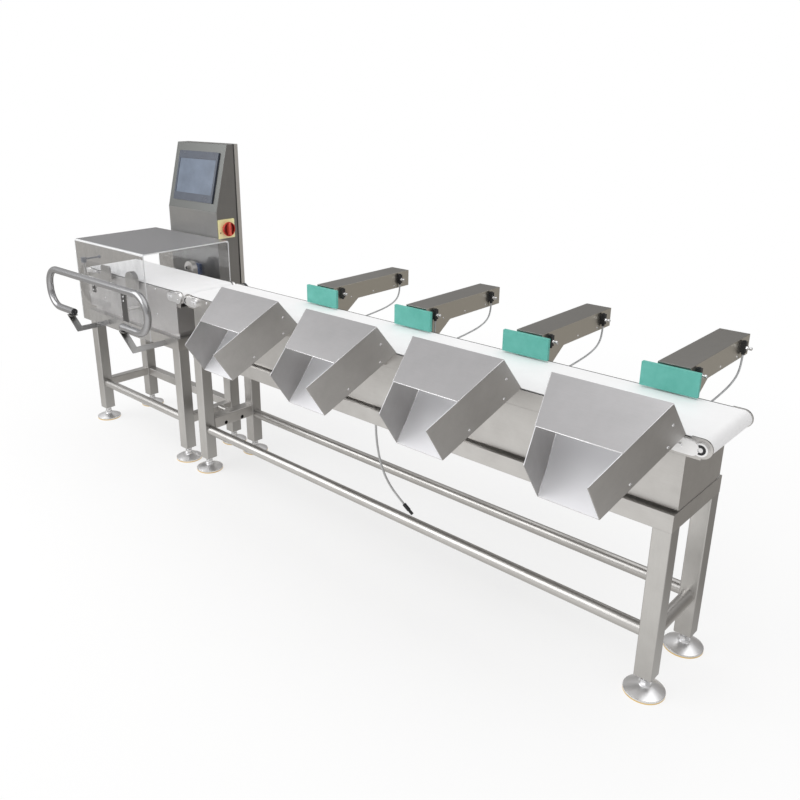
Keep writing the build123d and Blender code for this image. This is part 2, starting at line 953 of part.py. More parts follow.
# Pushers across the belt from the chutes
def pusher_housing(station):
    left = station - pusher_box_width / 2
    profile = [
        (pusher_box_start, pusher_box_top),
        (pusher_reach, pusher_box_top),
        (pusher_reach, pusher_box_bottom),
        (pusher_box_start + pusher_foot_end, pusher_box_bottom),
        (pusher_box_start + pusher_foot_reach, pusher_foot_bottom),
        (pusher_box_start, pusher_foot_bottom),
    ]
    plate(cross(left), profile, pusher_box_width)
    inside = pusher_box_width - 2 * pusher_box_sheet
    hollow = [
        (pusher_box_start - 1, pusher_box_top - pusher_box_sheet),
        (pusher_reach - pusher_box_sheet, pusher_box_top - pusher_box_sheet),
        (pusher_reach - pusher_box_sheet, pusher_foot_bottom - 1),
        (pusher_box_start - 1, pusher_foot_bottom - 1),
    ]
    plate(cross(left + pusher_box_sheet), hollow, inside, Mode.SUBTRACT)
    # Guide plate at the near end, bored for the rods
    guide_bottom = pusher_axis_height - cylinder_side / 2
    guide_height = pusher_box_top - pusher_box_sheet - guide_bottom
    guide_thickness = cylinder_start - pusher_box_start
    block(
        side(cylinder_start),
        (station, guide_bottom + guide_height / 2),
        inside,
        guide_height,
        guide_thickness,
    )
    rod(
        side(cylinder_start),
        (station, pusher_axis_height),
        piston_rod + 2 * slide_gap,
        guide_thickness,
        Mode.SUBTRACT,
    )
    for spread in (-guide_spread, guide_spread):
        rod(
            side(cylinder_start),
            (station + spread, pusher_axis_height - guide_drop),
            guide_rod + 2 * slide_gap,
            guide_thickness,
            Mode.SUBTRACT,
        )
    for y in (near_port, far_port):
        rod(
            cross(left + pusher_box_width - pusher_box_sheet),
            (y, pusher_axis_height),
            port_diameter,
            pusher_box_sheet,
            Mode.SUBTRACT,
        )


with BuildPart() as pusher_housings:
    for x in chute_stations:
        pusher_housing(x)
pusher_housings.part.label = "pusher_housings"
export_step(pusher_housings.part, "parts/pusher_housings.step")

# Air cylinders inside the housings, hung from the roof on a rail
with BuildPart() as pusher_cylinders:
    length = cylinder_end - cylinder_start
    for x in chute_stations:
        block(
            side(cylinder_end), (x, pusher_axis_height), cylinder_side, cylinder_side, length, corner=5.0
        )
        roof = pusher_box_top - pusher_box_sheet
        body_top = pusher_axis_height + cylinder_side / 2
        block(
            side(cylinder_end - 40), (x, (roof + body_top) / 2), 16, roof - body_top, length - 90
        )
        rod(
            side(cylinder_end - cylinder_head),
            (x, pusher_axis_height),
            cylinder_bore,
            length - 2 * cylinder_head,
            Mode.SUBTRACT,
        )
        rod(
            side(cylinder_start + cylinder_head),
            (x, pusher_axis_height),
            piston_rod + 2 * slide_gap,
            cylinder_head,
            Mode.SUBTRACT,
        )
        for y in (near_port, far_port):
            rod(
                cross(x + cylinder_side / 2 - 6),
                (y, pusher_axis_height),
                port_diameter - 3,
                6,
                Mode.SUBTRACT,
            )
pusher_cylinders.part.label = "pusher_cylinders"
export_step(pusher_cylinders.part, "parts/pusher_cylinders.step")

# Elbow fittings on the outside of the housings
with BuildPart() as pusher_fittings:
    for x in chute_stations:
        for y in (near_port, far_port):
            collar_top = pusher_axis_height - 8
            block(
                level(collar_top),
                (x + hose_side, y),
                fitting_side,
                fitting_side,
                fitting_height,
            )
            rod(
                cross(x + cylinder_side / 2),
                (y, pusher_axis_height),
                port_diameter,
                pusher_box_width / 2 - cylinder_side / 2,
            )
            rod(
                level(collar_top - fitting_collar),
                (x + hose_side, y),
                hose_diameter + 4,
                fitting_collar,
            )
            hexagon(level(collar_top + fitting_height), (x + hose_side, y), 8, 3)
pusher_fittings.part.label = "pusher_fittings"
export_step(pusher_fittings.part, "parts/pusher_fittings.step")


# Pusher plates, each carried by a piston rod and two guide rods
def pusher_plate(station):
    block(
        side(pusher_face + pusher_plate_thickness),
        (station, pusher_plate_bottom + pusher_plate_height / 2),
        pusher_plate_width,
        pusher_plate_height,
        pusher_plate_thickness,
        corner=2.0,
    )


def pusher_rods(station):
    back = pusher_face + pusher_plate_thickness
    piston_back = cylinder_end - cylinder_head - 2
    rod(side(piston_back), (station, pusher_axis_height), piston_rod, piston_back - back)
    rod(
        side(piston_back),
        (station, pusher_axis_height),
        cylinder_bore - 2 * slide_gap,
        piston_length,
    )
    for spread in (-guide_spread, guide_spread):
        rod(
            side(cylinder_start + pusher_stroke + 20),
            (station + spread, pusher_axis_height - guide_drop),
            guide_rod,
            cylinder_start + pusher_stroke + 20 - back,
        )


with BuildPart() as pusher_plate_1:
    pusher_plate(chute_stations[0])
pusher_plate_1.part.label = "pusher_plate_1"
export_step(pusher_plate_1.part, "parts/pusher_plate_1.step")

with BuildPart() as pusher_plate_2:
    pusher_plate(chute_stations[1])
pusher_plate_2.part.label = "pusher_plate_2"
export_step(pusher_plate_2.part, "parts/pusher_plate_2.step")

with BuildPart() as pusher_plate_3:
    pusher_plate(chute_stations[2])
pusher_plate_3.part.label = "pusher_plate_3"
export_step(pusher_plate_3.part, "parts/pusher_plate_3.step")

with BuildPart() as pusher_plate_4:
    pusher_plate(chute_stations[3])
pusher_plate_4.part.label = "pusher_plate_4"
export_step(pusher_plate_4.part, "parts/pusher_plate_4.step")

with BuildPart() as pusher_rods_1:
    pusher_rods(chute_stations[0])
pusher_rods_1.part.label = "pusher_rods_1"
export_step(pusher_rods_1.part, "parts/pusher_rods_1.step")

with BuildPart() as pusher_rods_2:
    pusher_rods(chute_stations[1])
pusher_rods_2.part.label = "pusher_rods_2"
export_step(pusher_rods_2.part, "parts/pusher_rods_2.step")

with BuildPart() as pusher_rods_3:
    pusher_rods(chute_stations[2])
pusher_rods_3.part.label = "pusher_rods_3"
export_step(pusher_rods_3.part, "parts/pusher_rods_3.step")

with BuildPart() as pusher_rods_4:
    pusher_rods(chute_stations[3])
pusher_rods_4.part.label = "pusher_rods_4"
export_step(pusher_rods_4.part, "parts/pusher_rods_4.step")


# Cords: a round section along straight runs joined by tangent arcs
def bend_radii(points):
    radii = []
    for before, here, after in zip(points, points[1:], points[2:]):
        first = (here[0] - before[0], here[1] - before[1])
        second = (after[0] - here[0], after[1] - here[1])
        turn = abs(atan2(first[0] * second[1] - first[1] * second[0],
                         first[0] * second[0] + first[1] * second[1]))
        radii.append(0.45 * min(hypot(*first), hypot(*second)) / tan(turn / 2))
    return radii


def cord(name, plane, points, diameter):
    radii = bend_radii(points)
    with BuildLine(plane) as route:
        FilletPolyline(*points, radius=radii)
    path = route.wire()
    with BuildSketch(Plane(path @ 0, z_dir=path % 0)) as section:
        Circle(diameter / 2)
    swept = sweep(section.sketch, path=path)
    expected = section.sketch.area * path.length
    print(name, "length", round(path.length, 1), "smallest radius", round(min(radii), 1),
          "volume over section times length", round(swept.volume / expected, 4))


hose_start = pusher_axis_height - 8 - fitting_collar
hose_end = housing_width / 2 - hose_overrun
long_hose = [
    (far_port, hose_start),
    (far_port, hose_start - 34),
    (far_port - 23, hose_start - 64),
    (far_port - 76, hose_start - 80),
    (far_port - 146, hose_start - 88),
    (far_port - 216, hose_start - 93),
    (far_port - 286, hose_start - 99),
    (hose_end + 30, hose_entry_height),
    (hose_end, hose_entry_height),
]
short_hose = [
    (near_port, hose_start),
    (near_port, hose_start - 30),
    (near_port - 7, hose_start - 58),
    (hose_end + 30, return_entry_height),
    (hose_end, return_entry_height),
]

with BuildPart() as pusher_hose_1:
    cord("pusher_hose_1", cross(chute_stations[0] + hose_side), long_hose, hose_diameter)
pusher_hose_1.part.label = "pusher_hose_1"
export_step(pusher_hose_1.part, "parts/pusher_hose_1.step")

with BuildPart() as pusher_hose_2:
    cord("pusher_hose_2", cross(chute_stations[1] + hose_side), long_hose, hose_diameter)
pusher_hose_2.part.label = "pusher_hose_2"
export_step(pusher_hose_2.part, "parts/pusher_hose_2.step")

with BuildPart() as pusher_hose_3:
    cord("pusher_hose_3", cross(chute_stations[2] + hose_side), long_hose, hose_diameter)
pusher_hose_3.part.label = "pusher_hose_3"
export_step(pusher_hose_3.part, "parts/pusher_hose_3.step")

with BuildPart() as pusher_hose_4:
    cord("pusher_hose_4", cross(chute_stations[3] + hose_side), long_hose, hose_diameter)
pusher_hose_4.part.label = "pusher_hose_4"
export_step(pusher_hose_4.part, "parts/pusher_hose_4.step")

with BuildPart() as return_hose_2:
    cord("return_hose_2", cross(chute_stations[1] + hose_side), short_hose, hose_diameter)
return_hose_2.part.label = "return_hose_2"
export_step(return_hose_2.part, "parts/return_hose_2.step")

# Open tray of the weighing unit on its plinth, notched round the arms of the roller bearings
notch_bottom = roller_height - bearing_disc / 2 - base_notch_gap
notch_ends = [
    (base_left, weigh_left_axis + tongue_reach + base_notch_gap),
    (weigh_right_axis - tongue_reach - base_notch_gap, base_right),
]
with BuildPart() as weigh_base:
    block(
        level(base_bottom),
        (base_middle, 0),
        base_length,
        2 * base_half,
        base_side_top - base_bottom,
    )
    block(
        level(weigh_top),
        (base_middle, 0),
        base_length - 2 * plinth_inset,
        2 * base_half - 2 * plinth_inset,
        base_bottom - weigh_top,
    )
    block(
        level(base_bottom + base_sheet),
        (base_middle, 0),
        base_length - 2 * base_sheet,
        2 * base_half - 2 * base_sheet,
        base_side_top - base_bottom,
        Mode.SUBTRACT,
    )
    block(
        level(base_end_top),
        (base_middle, 0),
        base_length,
        2 * base_half - 2 * base_sheet,
        base_side_top - base_end_top,
        Mode.SUBTRACT,
    )
    block(
        level(weigh_top),
        (base_middle, 0),
        base_length - 2 * plinth_inset - 2 * floor_flange,
        2 * base_half - 2 * plinth_inset - 2 * floor_flange,
        base_bottom - weigh_top,
        Mode.SUBTRACT,
    )
    for start, end in notch_ends:
        block(
            level(notch_bottom),
            ((start + end) / 2, 0),
            end - start,
            2 * base_half,
            base_side_top - notch_bottom,
            Mode.SUBTRACT,
        )
weigh_base.part.label = "weigh_base"
export_step(weigh_base.part, "parts/weigh_base.step")

# Single point load cell between the tray floor and the belt carrier
with BuildPart() as load_cell:
    floor = base_bottom + base_sheet
    beam_bottom = floor + cell_spacer
    beam_top = beam_bottom + cell_height
    block(
        level(floor), (base_middle - cell_length / 2 + 25, 0), 50, cell_width, cell_spacer
    )
    block(
        side(cell_width / 2),
        (base_middle, (beam_bottom + beam_top) / 2),
        cell_length,
        cell_height,
        cell_width,
    )
    block(
        level(beam_top),
        (base_middle + cell_length / 2 - 25, 0),
        50,
        cell_width,
        platform_bottom - beam_top,
    )
    with BuildSketch(side(cell_width / 2)):
        with Locations((base_middle, (beam_bottom + beam_top) / 2)):
            SlotCenterToCenter(44, cell_hole)
    extrude(amount=cell_width, mode=Mode.SUBTRACT)
load_cell.part.label = "load_cell"
export_step(load_cell.part, "parts/load_cell.step")

# Clear cover: one bent sheet, open at both ends
cover_middle = (cover_top + cover_bottom) / 2
with BuildPart() as clear_cover:
    with BuildSketch(cross(cover_left)):
        with Locations((0, cover_middle)):
            panel = Rectangle(2 * cover_half_width, cover_top - cover_bottom)
        fillet(panel.vertices().group_by(Axis.Y)[-1], cover_corner)
    extrude(amount=cover_length)
    with BuildSketch(cross(cover_left)):
        with Locations((0, cover_middle - cover_sheet)):
            hollow = Rectangle(2 * (cover_half_width - cover_sheet), cover_top - cover_bottom)
        fillet(hollow.vertices().group_by(Axis.Y)[-1], cover_corner - cover_sheet)
    extrude(amount=cover_length, mode=Mode.SUBTRACT)
clear_cover.part.label = "clear_cover"
export_step(clear_cover.part, "parts/clear_cover.step")


# Brackets that carry the cover: a tall leg inside the cover, a shelf and a foot on the tray
def cover_bracket(station, width, height, drop, bridge_drop):
    inner = base_half
    outer = cover_half_width - cover_sheet
    high = base_side_top - drop
    low = high - height
    shelf = high - bridge_drop
    half_foot = bracket_foot / 2
    for facing in (-1, 1):
        profile = [
            (facing * inner, shelf - half_foot),
            (facing * inner, shelf + half_foot),
            (facing * (inner + strap_thickness), shelf + half_foot),
            (facing * (inner + strap_thickness), shelf + strap_thickness),
            (facing * (outer - strap_thickness), shelf + strap_thickness),
            (facing * (outer - strap_thickness), high),
            (facing * outer, high),
            (facing * outer, low),
            (facing * (outer - strap_thickness), low),
            (facing * (outer - strap_thickness), shelf),
            (facing * (inner + strap_thickness), shelf),
            (facing * (inner + strap_thickness), shelf - half_foot),
        ]
        plate(cross(station - width / 2), profile, width)


with BuildPart() as cover_brackets:
    cover_bracket(
        cover_left + small_bracket_inset,
        small_bracket_width,
        small_bracket_height,
        small_bracket_drop,
        small_bridge_drop,
    )
    cover_bracket(cover_left + strap_inset, strap_width, strap_height, strap_drop, strap_bridge_drop)
cover_brackets.part.label = "cover_brackets"
export_step(cover_brackets.part, "parts/cover_brackets.step")

# Push bar: one bent tube, open in the middle of its lower run
with BuildPart() as handle_tube:
    left = handle_left + handle_radius
    right = handle_right - handle_radius
    with BuildLine(side(handle_offset)) as route:
        FilletPolyline(
            (handle_left_end, handle_low_line),
            (left, handle_low_line),
            (left, handle_top_line),
            (right, handle_top_line),
            (right, handle_low_line + handle_low_rise),
            (handle_right_end, handle_low_line + handle_low_rise),
            radius=handle_bend,
        )
    with BuildSketch(Plane(route.line @ 0, z_dir=route.line % 0)):
        Circle(handle_radius)
        Circle(handle_radius - handle_wall, mode=Mode.SUBTRACT)
    sweep(path=route.line)
handle_tube.part.label = "handle_tube"
export_step(handle_tube.part, "parts/handle_tube.step")

# Folded arms under the open ends of the push bar, reaching back to the frame
arm_places = [
    (handle_left_end - 42, handle_low_line),
    (handle_right_end - 7, handle_low_line + handle_low_rise),
]
with BuildPart() as handle_arms:
    near = -handle_offset + handle_radius
    lean = arm_run / arm_drop
    thick = arm_sheet * 1.5
    for start, tube_line in arm_places:
        high = tube_line - handle_radius
        profile = [
            (start, high),
            (start + arm_flange, high),
            (start + arm_flange, high - arm_sheet),
            (start + thick + arm_sheet * lean, high - arm_sheet),
            (start + thick + (high - arm_low) * lean, arm_low),
            (start + (high - arm_low) * lean, arm_low),
        ]
        plate(side(-half_width), profile, near - half_width)
    block(
        side(-half_width),
        ((handle_left_end + handle_right_end) / 2, arm_top + 50),
        2 * half_width + frame_width,
        100,
        -handle_offset - handle_radius - half_width,
        Mode.SUBTRACT,
    )
handle_arms.part.label = "handle_arms"
export_step(handle_arms.part, "parts/handle_arms.step")

# Infeed bracket: rounded guide plate and the post of the clamp
with BuildPart() as infeed_bracket:
    bottom = base_side_top - guide_drop_below
    guide_left = base_left + guide_station_inset - guide_width / 2
    guide_right = guide_left + guide_width
    outline = [
        (clamp_station - clamp_post_diameter, bottom),
        (clamp_station - clamp_post_diameter, base_side_top - guide_low_end),
        (guide_left, base_side_top - guide_low_end + guide_climb),
        (guide_left, base_side_top + guide_rise),
        (guide_right, base_side_top + guide_rise),
        (guide_right, bottom),
    ]
    guide_back = base_half + guide_spacer
    with BuildSketch(side(-guide_back)) as section:
        with BuildLine():
            Polyline(*outline, close=True)
        make_face()
        fillet(section.vertices().group_by(Axis.Y)[-1], guide_corner)
    extrude(section.sketch, amount=guide_thickness)
    block(
        side(-base_half),
        ((guide_left + guide_right) / 2, bottom + lug_height / 2),
        guide_width,
        lug_height,
        guide_spacer,
    )
    lug_end = -clamp_offset + clamp_post_diameter
    block(
        level(bottom),
        (clamp_station, -(guide_back + lug_end) / 2),
        2 * clamp_post_diameter,
        lug_end - guide_back,
        lug_height,
    )
    rod(level(bottom), (clamp_station, clamp_offset), clamp_post_diameter, clamp_post_top - bottom)
    rod(level(clamp_post_top), (clamp_station, clamp_offset), clamp_lever_diameter, 16)
infeed_bracket.part.label = "infeed_bracket"
export_step(infeed_bracket.part, "parts/infeed_bracket.step")

# Clamp lever on its threaded stud
with BuildPart() as clamp_lever:
    rod(level(clamp_post_top + slide_gap), (clamp_station, clamp_offset), clamp_hub, 22)
    rod(
        side(clamp_offset + clamp_lever_length),
        (clamp_station, clamp_post_top + 14),
        clamp_lever_diameter,
        clamp_lever_length,
    )
    with BuildSketch(level(clamp_post_top + 14)) as ball:
        with Locations((clamp_station, clamp_offset + clamp_lever_length)):
            Circle(clamp_lever_diameter)
            Rectangle(
                clamp_lever_diameter, 2 * clamp_lever_diameter, align=(Align.MAX, Align.CENTER),
                mode=Mode.SUBTRACT,
            )
            Rectangle(
                2 * clamp_lever_diameter, 2 * clamp_lever_diameter, align=(Align.MAX, Align.CENTER),
                mode=Mode.SUBTRACT,
            )
    tip = Axis(
        (line_x + clamp_station, line_y + clamp_offset, clamp_post_top + 14), (0, 1, 0)
    )
    revolve(ball.sketch, axis=tip)
    rod(
        level(clamp_post_top),
        (clamp_station, clamp_offset),
        clamp_lever_diameter + 2 * running_gap,
        18,
        Mode.SUBTRACT,
    )
clamp_lever.part.label = "clamp_lever"
export_step(clamp_lever.part, "parts/clamp_lever.step")

# Photo eyes on both sides of the weigh belt, each in a block with a half round top
with BuildPart() as photo_eyes:
    eye_height = eye_top - eye_radius
    for facing in (-1, 1):
        back = base_half + eye_stand_off
        outer = side(-back) if facing < 0 else side(back + eye_thickness)
        with BuildSketch(outer) as section:
            with Locations((eye_station, (eye_bottom + eye_height) / 2)):
                Rectangle(2 * eye_radius, eye_height - eye_bottom)
            with Locations((eye_station, eye_height)):
                Circle(eye_radius)
        extrude(section.sketch, amount=eye_thickness)
        stand_off = side(-base_half) if facing < 0 else side(back)
        block(stand_off, (eye_station, eye_bottom + 9), 2 * eye_radius - 20, 18, eye_stand_off)
        lens = side(-back + eye_lens_depth) if facing < 0 else side(back)
        rod(lens, (eye_station, eye_height + 6), eye_lens, eye_lens_depth)
photo_eyes.part.label = "photo_eyes"
export_step(photo_eyes.part, "parts/photo_eyes.step")

# Tower column: folded sheet with a leaning upper front, open at the back
tower_left = tower_centre - tower_width / 2
tower_right = tower_centre + tower_width / 2
tower_bottom = arm_top
tower_height = tower_top - tower_bottom
tower_middle = (tower_top + tower_bottom) / 2
rim_back = tower_back + door_gap
hinge_x = tower_left - hinge_radius - slide_gap
hinge_y = rim_back + 1


with BuildPart() as tower_column:
    profile = [
        (tower_front, tower_bottom),
        (tower_front, tower_bend),
        (tower_top_front, tower_top),
        (tower_back, tower_top),
        (tower_back, tower_bottom),
    ]
    plate(cross(tower_left), profile, tower_width)
    hollow = [
        (tower_front + tower_sheet, tower_bottom + tower_sheet),
        (tower_front + tower_sheet, tower_bend),
        (tower_top_front + tower_sheet - 0.5, tower_top - tower_sheet),
        (tower_back - tower_sheet, tower_top - tower_sheet),
        (tower_back - tower_sheet, tower_bottom + tower_sheet),
    ]
    plate(cross(tower_left + tower_sheet), hollow, tower_width - 2 * tower_sheet, Mode.SUBTRACT)
    block(
        side(rim_back),
        (tower_centre, tower_middle),
        tower_width - 2 * gap_inset,
        tower_height - 2 * gap_inset,
        door_gap,
    )
    block(
        side(rim_back),
        (tower_centre, tower_middle),
        tower_width - 2 * gap_inset - 12,
        tower_height - 2 * gap_inset - 12,
        door_gap + tower_sheet,
        Mode.SUBTRACT,
    )
    rod(
        cross(tower_right - tower_sheet),
        (switch_offset, switch_height),
        knob_stem + 2 * slide_gap,
        tower_sheet,
        Mode.SUBTRACT,
    )
    for z in hinge_heights:
        third = hinge_length / 3
        block(
            cross(tower_left - tower_sheet),
            (hinge_y - hinge_radius - 2 - leaf_length / 2, z),
            leaf_length,
            hinge_length,
            tower_sheet,
        )
        for low in (z - hinge_length / 2, z + third / 2):
            rod(level(low), (hinge_x, hinge_y), 2 * hinge_radius, third)
            block(
                cross(tower_left - tower_sheet),
                (hinge_y - tab_gap - tab_length / 2, low + third / 2),
                tab_length,
                third,
                tower_sheet,
            )
        rod(level(z - hinge_length / 2), (hinge_x, hinge_y), hinge_pin, hinge_length)
tower_column.part.label = "tower_column"
export_step(tower_column.part, "parts/tower_column.step")

# Rear door of the tower, a folded pan on two hinges
with BuildPart() as tower_door:
    door_back = rim_back + door_depth
    block(
        side(door_back), (tower_centre, tower_middle), tower_width, tower_height, door_depth
    )
    block(
        side(door_back - tower_sheet),
        (tower_centre, tower_middle),
        tower_width - 2 * tower_sheet,
        tower_height - 2 * tower_sheet,
        door_depth - 2 * tower_sheet,
        Mode.SUBTRACT,
    )
    block(
        side(door_back - tower_sheet),
        (tower_centre, tower_middle),
        tower_width - 32,
        tower_height - 32,
        door_depth - tower_sheet,
        Mode.SUBTRACT,
    )
    for z in hinge_heights:
        third = hinge_length / 3 - 2 * slide_gap
        block(
            cross(tower_left - tower_sheet),
            (door_back - 5, z),
            10,
            hinge_length,
            tower_sheet,
        )
        block(
            cross(tower_left - tower_sheet),
            ((hinge_y + door_back) / 2, z),
            door_back - hinge_y,
            third,
            tower_sheet,
        )
        rod(level(z - third / 2), (hinge_x, hinge_y), 2 * hinge_radius, third)
        rod(
            level(z - third / 2),
            (hinge_x, hinge_y),
            hinge_pin + 2 * running_gap,
            third,
            Mode.SUBTRACT,
        )
tower_door.part.label = "tower_door"
export_step(tower_door.part, "parts/tower_door.step")

# Touch screen on the leaning front, display set back in its bezel
front_run = tower_top_front - tower_front
front_rise = tower_top - tower_bend
front_slope = atan2(front_run, front_rise)
screen_plane = Plane(
    origin=(line_x + tower_centre, line_y + tower_front, tower_bend),
    x_dir=(1, 0, 0),
    z_dir=(0, -cos(front_slope), sin(front_slope)),
)
with BuildPart() as touch_screen:
    centre = (0, screen_start + screen_height / 2)
    block(screen_plane, centre, screen_width, screen_height, screen_thickness, corner=5.0)
    block(
        screen_plane.offset(screen_thickness - 1.5),
        centre,
        screen_width - 24,
        screen_height - 66,
        1.5,
        Mode.SUBTRACT,
    )
touch_screen.part.label = "touch_screen"
export_step(touch_screen.part, "parts/touch_screen.step")

# Main switch: square plate and rotary knob
with BuildPart() as switch_plate:
    place = (switch_offset, switch_height)
    block(
        cross(tower_right),
        place,
        switch_plate_width,
        switch_plate_height,
        switch_plate_thickness,
        corner=4.0,
    )
    rod(cross(tower_right), place, knob_stem + 2 * slide_gap, switch_plate_thickness, Mode.SUBTRACT)
switch_plate.part.label = "switch_plate"
export_step(switch_plate.part, "parts/switch_plate.step")

with BuildPart() as switch_knob:
    face = tower_right + switch_plate_thickness + slide_gap
    rod(cross(face), (switch_offset, switch_height), knob_diameter, knob_depth / 3)
    block(
        cross(face),
        (switch_offset, switch_height),
        knob_diameter / 3.5,
        knob_diameter - 8,
        knob_depth,
        corner=6.0,
    )
    rod(cross(face - 24), (switch_offset, switch_height), knob_stem, 24)
switch_knob.part.label = "switch_knob"
export_step(switch_knob.part, "parts/switch_knob.step")

# Connector box on the front of the tower, behind the cover
with BuildPart() as connector_box:
    block(
        side(tower_front),
        (connector_station, connector_middle),
        connector_width,
        connector_height,
        connector_depth,
        corner=4.0,
    )
connector_box.part.label = "connector_box"
export_step(connector_box.part, "parts/connector_box.step")

# Signal cable hanging from the sorter housing, with its plug
cable_points = [
    (cable_station, 586.0),
    (cable_station, 492.0),
    (cable_station - 2, 396.0),
    (cable_station + 9, 315.0),
    (cable_station + 31, 250.0),
    (cable_station + 63, 204.0),
    (cable_station + 101, 172.0),
    (cable_station + 135, 150.0),
]
with BuildPart() as signal_cable:
    cord("signal_cable", side(0), cable_points, cable_diameter)
signal_cable.part.label = "signal_cable"
export_step(signal_cable.part, "parts/signal_cable.step")

with BuildPart() as cable_plug:
    last = cable_points[-1]
    before = cable_points[-2]
    heading = (last[0] - before[0], 0, last[1] - before[1])
    plug_start = Plane(origin=(line_x + last[0], line_y, last[1]), z_dir=heading)
    rod(plug_start, (0, 0), cable_plug_diameter, cable_plug_length * 0.6)
    rod(plug_start, (0, 0), cable_plug_diameter - 3, cable_plug_length)
cable_plug.part.label = "cable_plug"
export_step(cable_plug.part, "parts/cable_plug.step")
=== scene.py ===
# %% [markdown]
# A weighing and sorting line for packs of food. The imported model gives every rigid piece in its
# true place, in metres, so nothing here is fitted by eye. Blender adds what a drawing leaves out:
# grain, gloss, screws, cables and light.

import math

import bmesh
import bpy
from mathutils import Matrix, Vector


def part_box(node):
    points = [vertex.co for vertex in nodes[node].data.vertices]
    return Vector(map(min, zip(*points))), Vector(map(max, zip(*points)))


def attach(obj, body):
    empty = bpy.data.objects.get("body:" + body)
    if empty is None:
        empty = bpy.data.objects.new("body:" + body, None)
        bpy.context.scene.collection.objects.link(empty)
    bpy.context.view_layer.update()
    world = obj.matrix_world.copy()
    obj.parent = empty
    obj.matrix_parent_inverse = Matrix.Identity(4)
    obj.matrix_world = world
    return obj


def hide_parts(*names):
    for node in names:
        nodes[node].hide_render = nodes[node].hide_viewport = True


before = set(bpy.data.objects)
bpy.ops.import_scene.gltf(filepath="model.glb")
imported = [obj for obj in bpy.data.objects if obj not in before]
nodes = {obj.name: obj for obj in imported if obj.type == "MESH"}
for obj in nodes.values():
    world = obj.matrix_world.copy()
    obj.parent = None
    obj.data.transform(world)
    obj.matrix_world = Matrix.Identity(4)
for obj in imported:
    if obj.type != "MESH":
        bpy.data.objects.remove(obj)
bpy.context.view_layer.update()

# %% [markdown]
# The drawing counts its stations from the outfeed end of the sorting frame and its offsets from
# the middle of the belts. The model's zero point is the middle of its floor area instead. One
# helper turns a station, an offset and a height in millimetres into a place in the model. It reads
# the shift from the sorting belt's box, whose end hangs over the frame by a known length.

# %% Places on the line
belt_overhang = 0.058
belt_low, belt_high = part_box("sorter_belt")
line_shift = Vector((belt_high.x - belt_overhang, (belt_low.y + belt_high.y) / 2, 0.0))


def place(station, offset, height):
    return line_shift + Vector((station, offset, height)) / 1000


print("belt middle at y", round(line_shift.y, 4), "frame end at x", round(line_shift.x, 4))

# %% [markdown]
# The camera stands where the photographer stood: in front of the chutes, near the outfeed end,
# 1.5 m above the floor. Its place and direction were solved from the straight edges of the frames.
# A small shift puts the line where it sits in the picture, off the middle of the frame.

# %% Camera
picture_side = 800
focal_pixels = 796.965
picture_middle = (353.27, 368.404)
sensor_width = 36.0
camera_data = bpy.data.cameras.new("camera")
camera_data.sensor_width = sensor_width
camera_data.lens = focal_pixels / picture_side * sensor_width
camera_data.shift_x = (picture_side / 2 - picture_middle[0]) / picture_side
camera_data.shift_y = (picture_middle[1] - picture_side / 2) / picture_side
camera = bpy.data.objects.new("camera", camera_data)
photographer = place(639.83, -1902.72, 1525.24)
right = Vector((0.7153508, 0.6987168, -0.0082472))
down = Vector((0.2238335, -0.2403109, -0.9445365))
ahead = Vector((-0.6619455, 0.6738290, -0.3283029))
facing = Matrix((right, -down, -ahead)).transposed().to_4x4()
camera.matrix_world = Matrix.Translation(photographer) @ facing
bpy.context.scene.collection.objects.link(camera)
bpy.context.scene.camera = camera
print("camera at", [round(v, 3) for v in camera.matrix_world.translation])

# %% [markdown]
# Air hoses and the signal cable are flexible, so each is one smooth curve through the same route
# points as the drawing. A NURBS curve of order 3 rounds the corners as a stiff plastic hose does.
# A bezier curve would need a handle at every point. The radius of each point sets the thickness,
# so the curve's box is as tight as the hose.


# %% Cord helper
def cord_piece(name, points, diameter, node):
    curve = bpy.data.curves.new(name, "CURVE")
    curve.dimensions = "3D"
    curve.bevel_depth = 1.0
    curve.bevel_resolution = 5
    curve.resolution_u = 10
    curve.use_fill_caps = True
    spline = curve.splines.new("NURBS")
    spline.points.add(len(points) - 1)
    for control, point in zip(spline.points, points):
        control.co = (*point, 1.0)
        control.radius = diameter / 2
    spline.order_u = 3
    spline.use_endpoint_u = True
    piece = bpy.data.objects.new(name, curve)
    bpy.context.scene.collection.objects.link(piece)
    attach(piece, "base")
    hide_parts(node)
    return piece


print("cord helper ready")

# %% [markdown]
# Each pusher has a hose from its far fitting. It drops, turns back under the housing and goes in
# beside the belt. The second pusher has a short return hose too. The cable comes out under the
# sorter and swings out to its plug. The numbers are an offset and a height for the hoses, and a
# distance along the line and a height for the cable.

# %% Cords
pusher_pitch, last_pusher = 448, -157
pusher_stations = [last_pusher - pusher_pitch * number for number in (3, 2, 1, 0)]
fitting_across = 52
cable_station = -1119
long_route = [
    (498, 782), (498, 748), (475, 718), (422, 702), (352, 694),
    (282, 689), (212, 683), (150, 676), (120, 676),
]
short_route = [(170, 782), (170, 752), (163, 724), (150, 694), (120, 694)]
cable_route = [
    (0, 586), (0, 492), (-2, 396), (9, 315), (31, 250), (63, 204), (101, 172), (135, 150),
]
hoses = []
for number, station in enumerate(pusher_stations, 1):
    route = [place(station + fitting_across, offset, height) for offset, height in long_route]
    hose = cord_piece(f"air_hose_{number}", route, 0.006, f"pusher_hose_{number}")
    hoses.append(hose)
second_fitting = pusher_stations[1] + fitting_across
route = [place(second_fitting, offset, height) for offset, height in short_route]
return_hose = cord_piece("air_hose_return", route, 0.006, "return_hose_2")
hoses.append(return_hose)
route = [place(cable_station + distance, 0, height) for distance, height in cable_route]
hanging_cable = cord_piece("hanging_cable", route, 0.008, "signal_cable")
print(len(hoses), "hoses and one cable")

